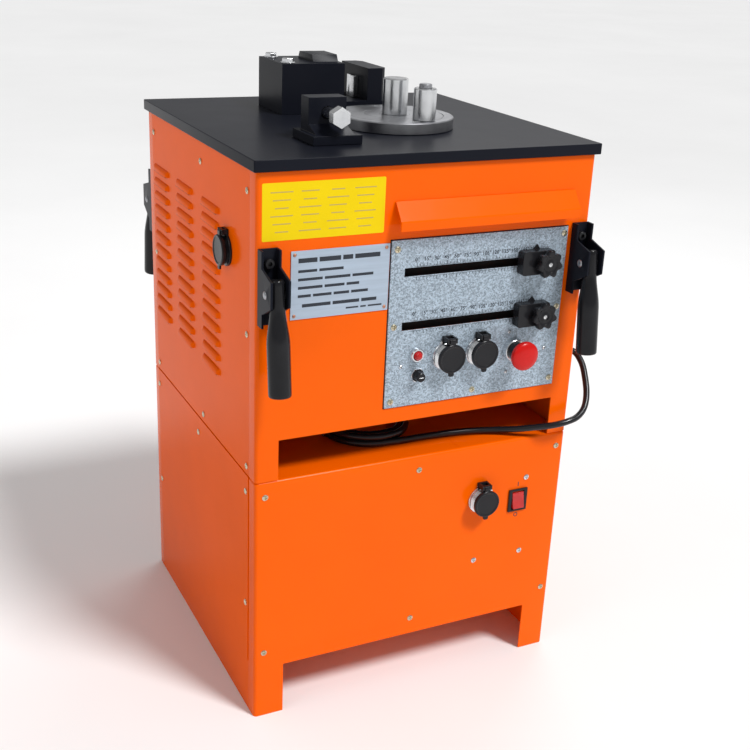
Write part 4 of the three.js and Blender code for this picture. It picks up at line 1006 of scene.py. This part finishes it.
class BENDER_OT_capped_sockets(bpy.types.Operator):
    """The four sockets with their hinged flap caps"""
    bl_idname = "bender.capped_sockets"
    bl_label = "Capped sockets"

    def execute(self, context):
        for name, body, side, face in (("panel_socket_a", "cap_a", "front", PANEL_FACE),
                                       ("panel_socket_b", "cap_b", "front", PANEL_FACE),
                                       ("base_socket", "cap_base", "front", FRONT),
                                       ("side_socket", "cap_side", "left", None)):
            stand = CAP_STANDS[side]
            x, y, _ = middle_of(name)
            up = box_of(name)[0][2] + size("flange_radius")
            at = (x, face, up) if side == "front" else (-HALF_WIDTH, y, up)
            self.socket(name, at, side, stand)
            self.cap(name, body, at, side, stand)
        return {"FINISHED"}

    def socket(self, name, at, side, stand):
        """Threaded collar on a ring: the radius ripples evenly along the thread."""
        big = size("flange_radius")
        thread = np.linspace(3.6, stand - 0.6, 40)
        ripple = 18.6 + 0.4 * np.sin(thread * 2 * math.pi / 1.4)
        profile = [(0, -5), (15, -5), (15, stand - 0.4), (18, stand), *zip(ripple[::-1], thread[::-1]),
                   (19, 3.2), (big - 0.6, 3.2), (big, 2.4), (big, 0.1), (0, 0.1)]
        add_piece("fine_" + name, seat(lathe(profile, 64), at, side),
                  "bright_steel" if side == "front" else "moulded_black")
        lug = stand + 2.2
        hinge = boxes([((0, 23, 1.7), (17, 12, 3.0))]
                      + [((x, 25.3, lug / 2 + 0.2), (3, 7.4, lug)) for x in (-6.5, 6.5)])
        pin = seat(tube(0, 1.5, -8.6, 8.6, 16), (0, HINGE_UP, stand), "right")
        add_piece(name + "_hinge", seats((hinge, pin), at, side), "moulded_black", bevel=0.5)

    def cap(self, name, body, at, side, stand):
        """A dished disc: flat to a raised rim, with its arm, eye and pull tab."""
        big, base = size("cap_radius"), stand + 0.3
        rim = [(big - 0.5, 0), (big, 0.5), (big, 4.2), (big - 0.8, 5.1), (big - 2.2, 5.5),
               (big - 3.4, 5.1), (big - 4.2, 4.5), (6, 4.3)]
        disc = lathe([(r, base + out) for r, out in [(0, 0), *rim, (0, 4.3)]], 64)
        arm = boxes([((0, 18.4, stand + 2.2), (9, 12.8, 3.6))])
        eye = seat(tube(1.9, 4, -4.5, 4.5, 24), (0, HINGE_UP, stand), "right")
        pull = prism(rounded_rectangle(8, 8, 2.4) - (0, 22), base + 1.1, base + 3.9)
        add_piece(f"fine_{name}_cap", seats((disc, arm, eye, pull), at, side), "moulded_black", body,
                  bevel=0.5)


class BENDER_OT_emergency_stop(bpy.types.Operator):
    """The mushroom stop button and its collar"""
    bl_idname = "bender.emergency_stop"
    bl_label = "Emergency stop"

    def execute(self, context):
        x, _, z = middle_of("stop_button")
        at = (x, PANEL_FACE, z)
        big = size("stop_radius")
        ring = lathe([(8.4, 9.8), (15.4, 9.8), (16.2, 9), (17.2, 3), (17.2, 0.1), (8.4, 0.1),
                      (8.4, 9.8)], 64)
        add_piece("fine_stop_collar", seat(ring, at, "front"), "bright_steel")
        add_piece("stop_skirt", seat(tube(8.5, 13.6, 10.1, 20.5, 48), at, "front"), "moulded_black")
        arc = np.linspace(0, math.pi / 2, 14)
        crown = np.c_[big * np.sin(arc) ** 0.8, 33.5 + 6.3 * np.cos(arc)]
        head = lathe([*crown, (big, 30), (big - 0.8, 28.3), (9, 28), (7.9, 27), (7.9, -8), (0, -8)],
                     64)
        add_piece("fine_stop_button", seat(head, at, "front"), "moulded_red", "emergency_stop")
        return {"FINISHED"}


class BENDER_OT_rocker_switch(bpy.types.Operator):
    """The rocker switch in its frame, with a plain mark for on and for off"""
    bl_idname = "bender.rocker_switch"
    bl_label = "Rocker switch"

    def execute(self, context):
        rounded_copy("rocker_frame", "moulded_black", bevel=0.8, segments=3)
        rounded_copy("rocker_button", "clear_red", "power_switch", 0.9, 3)
        x, _, z = middle_of("rocker_frame")
        printed("on_mark", [((x, z + MARK_AWAY), (1.4, 7))], -FRONT, slot="black_plastic")
        add_piece("off_mark", seat(tube(2.4, 3.6, PRINT_DEPTH, 0), (x, FRONT, z - MARK_AWAY), "front"),
                  "printed_ink", slot="black_plastic")
        return {"FINISHED"}


class BENDER_OT_carrying_handles(bpy.types.Operator):
    """The four fold-up handles in their brackets"""
    bl_idname = "bender.carrying_handles"
    bl_label = "Carrying handles"

    def execute(self, context):
        for corner in ("front_left", "front_right", "rear_left", "rear_right"):
            side, wall = ("front", FRONT) if corner.startswith("front") else ("back", -FRONT)
            bracket = f"handle_bracket_{corner}"
            at = (middle_of(bracket)[0], wall, box_of(bracket)[1][2])
            rounded_copy(bracket, "black_enamel", bevel=0.5)
            self.hardware(corner, at, side)
            self.sleeve(corner, at, side)
        return {"FINISHED"}

    def hardware(self, corner, at, side):
        """A socket-head bolt through the back of the bracket, and the pivot's riveted ends."""
        bolt = lathe([(3.1, 9.4), (5.6, 9.4), (6.4, 8.6), (6.4, 3.2), (0, 3.2)], 36)
        rim = lathe([(3.1, 9.4), (3.1, 5), (0, 5)], 36)
        floor = prism(3 * HEXAGON, 4.5, 6)
        add_piece(f"handle_bolt_{corner}",
                  seats((bolt, rim, floor), (at[0], at[1], at[2] - 18.5), side), "moulded_black",
                  slot="black_paint")
        head = lathe([(0, 1.9), (3, 1.6), (4.8, 0.8), (5.4, 0.1), (0, 0.1)], 28)
        out = PIVOT_OUT if side == "back" else -PIVOT_OUT
        pivots = [seat(head, (at[0] + x, at[1] + out, at[2] - PIVOT_DOWN), way)
                  for x, way in ((13.5, "right"), (-13.5, "left"))]
        add_piece(f"handle_pivot_{corner}", pivots, "turned_steel")

    def sleeve(self, corner, at, side):
        """A dipped sleeve: its radius grows smoothly down its length, and it leans outwards."""
        thin, thick = size("sleeve_radius"), size("grip_radius")
        lean = math.atan2(GRIP_LEAN, GRIP_LENGTH)
        along = np.concatenate([[0, 0.5, 1.6, 4], np.linspace(8, 146, 36),
                                [148.4, 149.6, GRIP_LENGTH]])
        radius = thin + (thick - thin) * smooth_step(along, 34, 84)
        ends = np.array([0.62, 0.86, 0.96, 1.0, *np.ones(36), 0.985, 0.93, 0.86])
        points, faces = lathe([(0, 0), *zip(radius * ends, along), (0, GRIP_LENGTH)], 40)
        across, out, down = points.T
        points = np.stack([across, out * math.sin(lean) - down * math.cos(lean),
                           down * math.sin(lean) + out * math.cos(lean)], -1)
        eye = lathe([(4.4, -9.8), (11.4, -9.8), (12, -9.2), (12, 9.2), (11.4, 9.8), (4.4, 9.8),
                     (4.4, -9.8)], 32)
        parts = [(points + (0, -32, 31), faces), seat(eye, (0, -PIVOT_DOWN, PIVOT_OUT), "right")]
        add_piece(f"fine_carry_handle_{corner}", seats(parts, at, side), "vinyl_sleeve",
                  f"handle_{corner}")


class BENDER_OT_bending_tools(bpy.types.Operator):
    """The bending disc, its pins and roller, and the back-up block"""
    bl_idname = "bender.bending_tools"
    bl_label = "Bending tools"

    def execute(self, context):
        low, high = box_of("turntable_disc")
        roller_low, roller_high = box_of("bending_roller")
        centre, orbit = middle_of("centre_pin")[:2], middle_of("bending_roller")[:2]
        self.disc(centre, orbit, low[2], roller_low[2] - low[2] - 0.3, high[2] - low[2])
        pin = lathe([(0, 50), (16.4, 50), (18, 48.4), (18, 0.1), (10, 0), (10, -18), (0, -18)], 64)
        add_piece("fine_centre_pin", seat(pin, (*centre, box_of("centre_pin")[1][2] - 50)),
                  "bright_steel", "turntable")
        tall = roller_high[2] - roller_low[2]
        roller = lathe([(9.4, tall), (14.8, tall), (16, tall - 1.2), (16, 1), (15, 0), (9.4, 0),
                        (9.4, tall)], 64)
        add_piece("fine_bending_roller", seat(roller, (*orbit, roller_low[2])), "bright_steel",
                  "roller")
        rounded_copy("support_block", "black_enamel", bevel=1.2, segments=3)
        rounded_copy("support_screw", "bright_steel", "adjuster")
        return {"FINISHED"}

    def disc(self, centre, orbit, floor, top, pin_top):
        """A thick turned disc with two fine grooves, and the roller's pin standing on it."""
        big = size("disc_radius")
        grooves = [(r + rise, top - 0.7 * (rise == 0)) for r in (big - 14.6, 43.4)
                   for rise in (0.6, 0, -0.6)]
        disc = lathe([(22.3, 0), (big - 1, 0), (big, 1), (big, top - 1.4), (big - 1.4, top),
                      *grooves, (22.3, top), (22.3, 0)], 96)
        pin = lathe([(0, top - 1), (9, top - 1), (9, pin_top - 1.2), (7.8, pin_top), (0, pin_top)], 40)
        add_piece("fine_turntable_disc",
                  [seat(disc, (*centre, floor)), seat(pin, (*orbit, floor))], "turned_steel",
                  "turntable", slot="tool_steel")


class BENDER_OT_shear_head(bpy.types.Operator):
    """The shear's housing, ram and fixed blade"""
    bl_idname = "bender.shear_head"
    bl_label = "Shear head"

    def execute(self, context):
        rounded_copy("cutter_housing", "black_enamel", bevel=2.0, segments=3)
        rounded_copy("cutter_ram", "turned_steel", "ram", 0.5)
        rounded_copy("fixed_blade", "bright_steel", bevel=0.4)
        low, high = box_of("cutter_housing")
        parts = [part for y in (low[1] + 14, high[1] - 14)
                 for part in seats((prism(9 * HEXAGON, 0, 6.5), tube(0, 11, 0, 1.4)),
                                   (low[0] + 14, y, high[2] - 10))]
        add_piece("head_bolts", parts, "bright_steel", bevel=0.5)
        return {"FINISHED"}


class BENDER_OT_drive(bpy.types.Operator):
    """Finishes of the gearbox, shafts and motor inside"""
    bl_idname = "bender.drive"
    bl_label = "Drive"

    def execute(self, context):
        recoat("rough_casting", "gearbox_housing", "motor_housing")
        recoat("turned_steel", "main_shaft", "cutter_crankshaft", "second_gear_shaft",
               "first_gear_shaft")
        recoat("copper_winding", "motor_armature")
        return {"FINISHED"}


OPERATORS = (
    BENDER_OT_stage, BENDER_OT_mains_cable, BENDER_OT_base_cabinet, BENDER_OT_upper_cabinet,
    BENDER_OT_cabinet_screws, BENDER_OT_table, BENDER_OT_visor, BENDER_OT_control_panel,
    BENDER_OT_angle_scales, BENDER_OT_angle_stops, BENDER_OT_indicators,
    BENDER_OT_capped_sockets, BENDER_OT_emergency_stop, BENDER_OT_rocker_switch,
    BENDER_OT_carrying_handles, BENDER_OT_bending_tools, BENDER_OT_shear_head, BENDER_OT_drive,
)


class BENDER_PT_pieces(bpy.types.Panel):
    """Lists the pieces in the sidebar"""
    bl_label = "Rebar Bender"
    bl_idname = "BENDER_PT_pieces"
    bl_space_type = "VIEW_3D"
    bl_region_type = "UI"
    bl_category = "Bender"

    def draw(self, context):
        for operator in OPERATORS:
            self.layout.operator(operator.bl_idname)
        for group in (context.scene.bender_sizes, context.scene.bender_colours):
            column = self.layout.column()
            for name in group.__annotations__:
                column.prop(group, name)


CLASSES = (BenderSizes, BenderColours, *OPERATORS, BENDER_PT_pieces)


def register():
    for made in CLASSES:
        bpy.utils.register_class(made)
    bpy.types.Scene.bender_sizes = PointerProperty(type=BenderSizes)
    bpy.types.Scene.bender_colours = PointerProperty(type=BenderColours)


def unregister():
    del bpy.types.Scene.bender_colours
    del bpy.types.Scene.bender_sizes
    for made in reversed(CLASSES):
        bpy.utils.unregister_class(made)


def main():
    register()
    for operator in OPERATORS:
        group, name = operator.bl_idname.split(".")
        getattr(getattr(bpy.ops, group), name)()


if __name__ == "__main__":
    main()
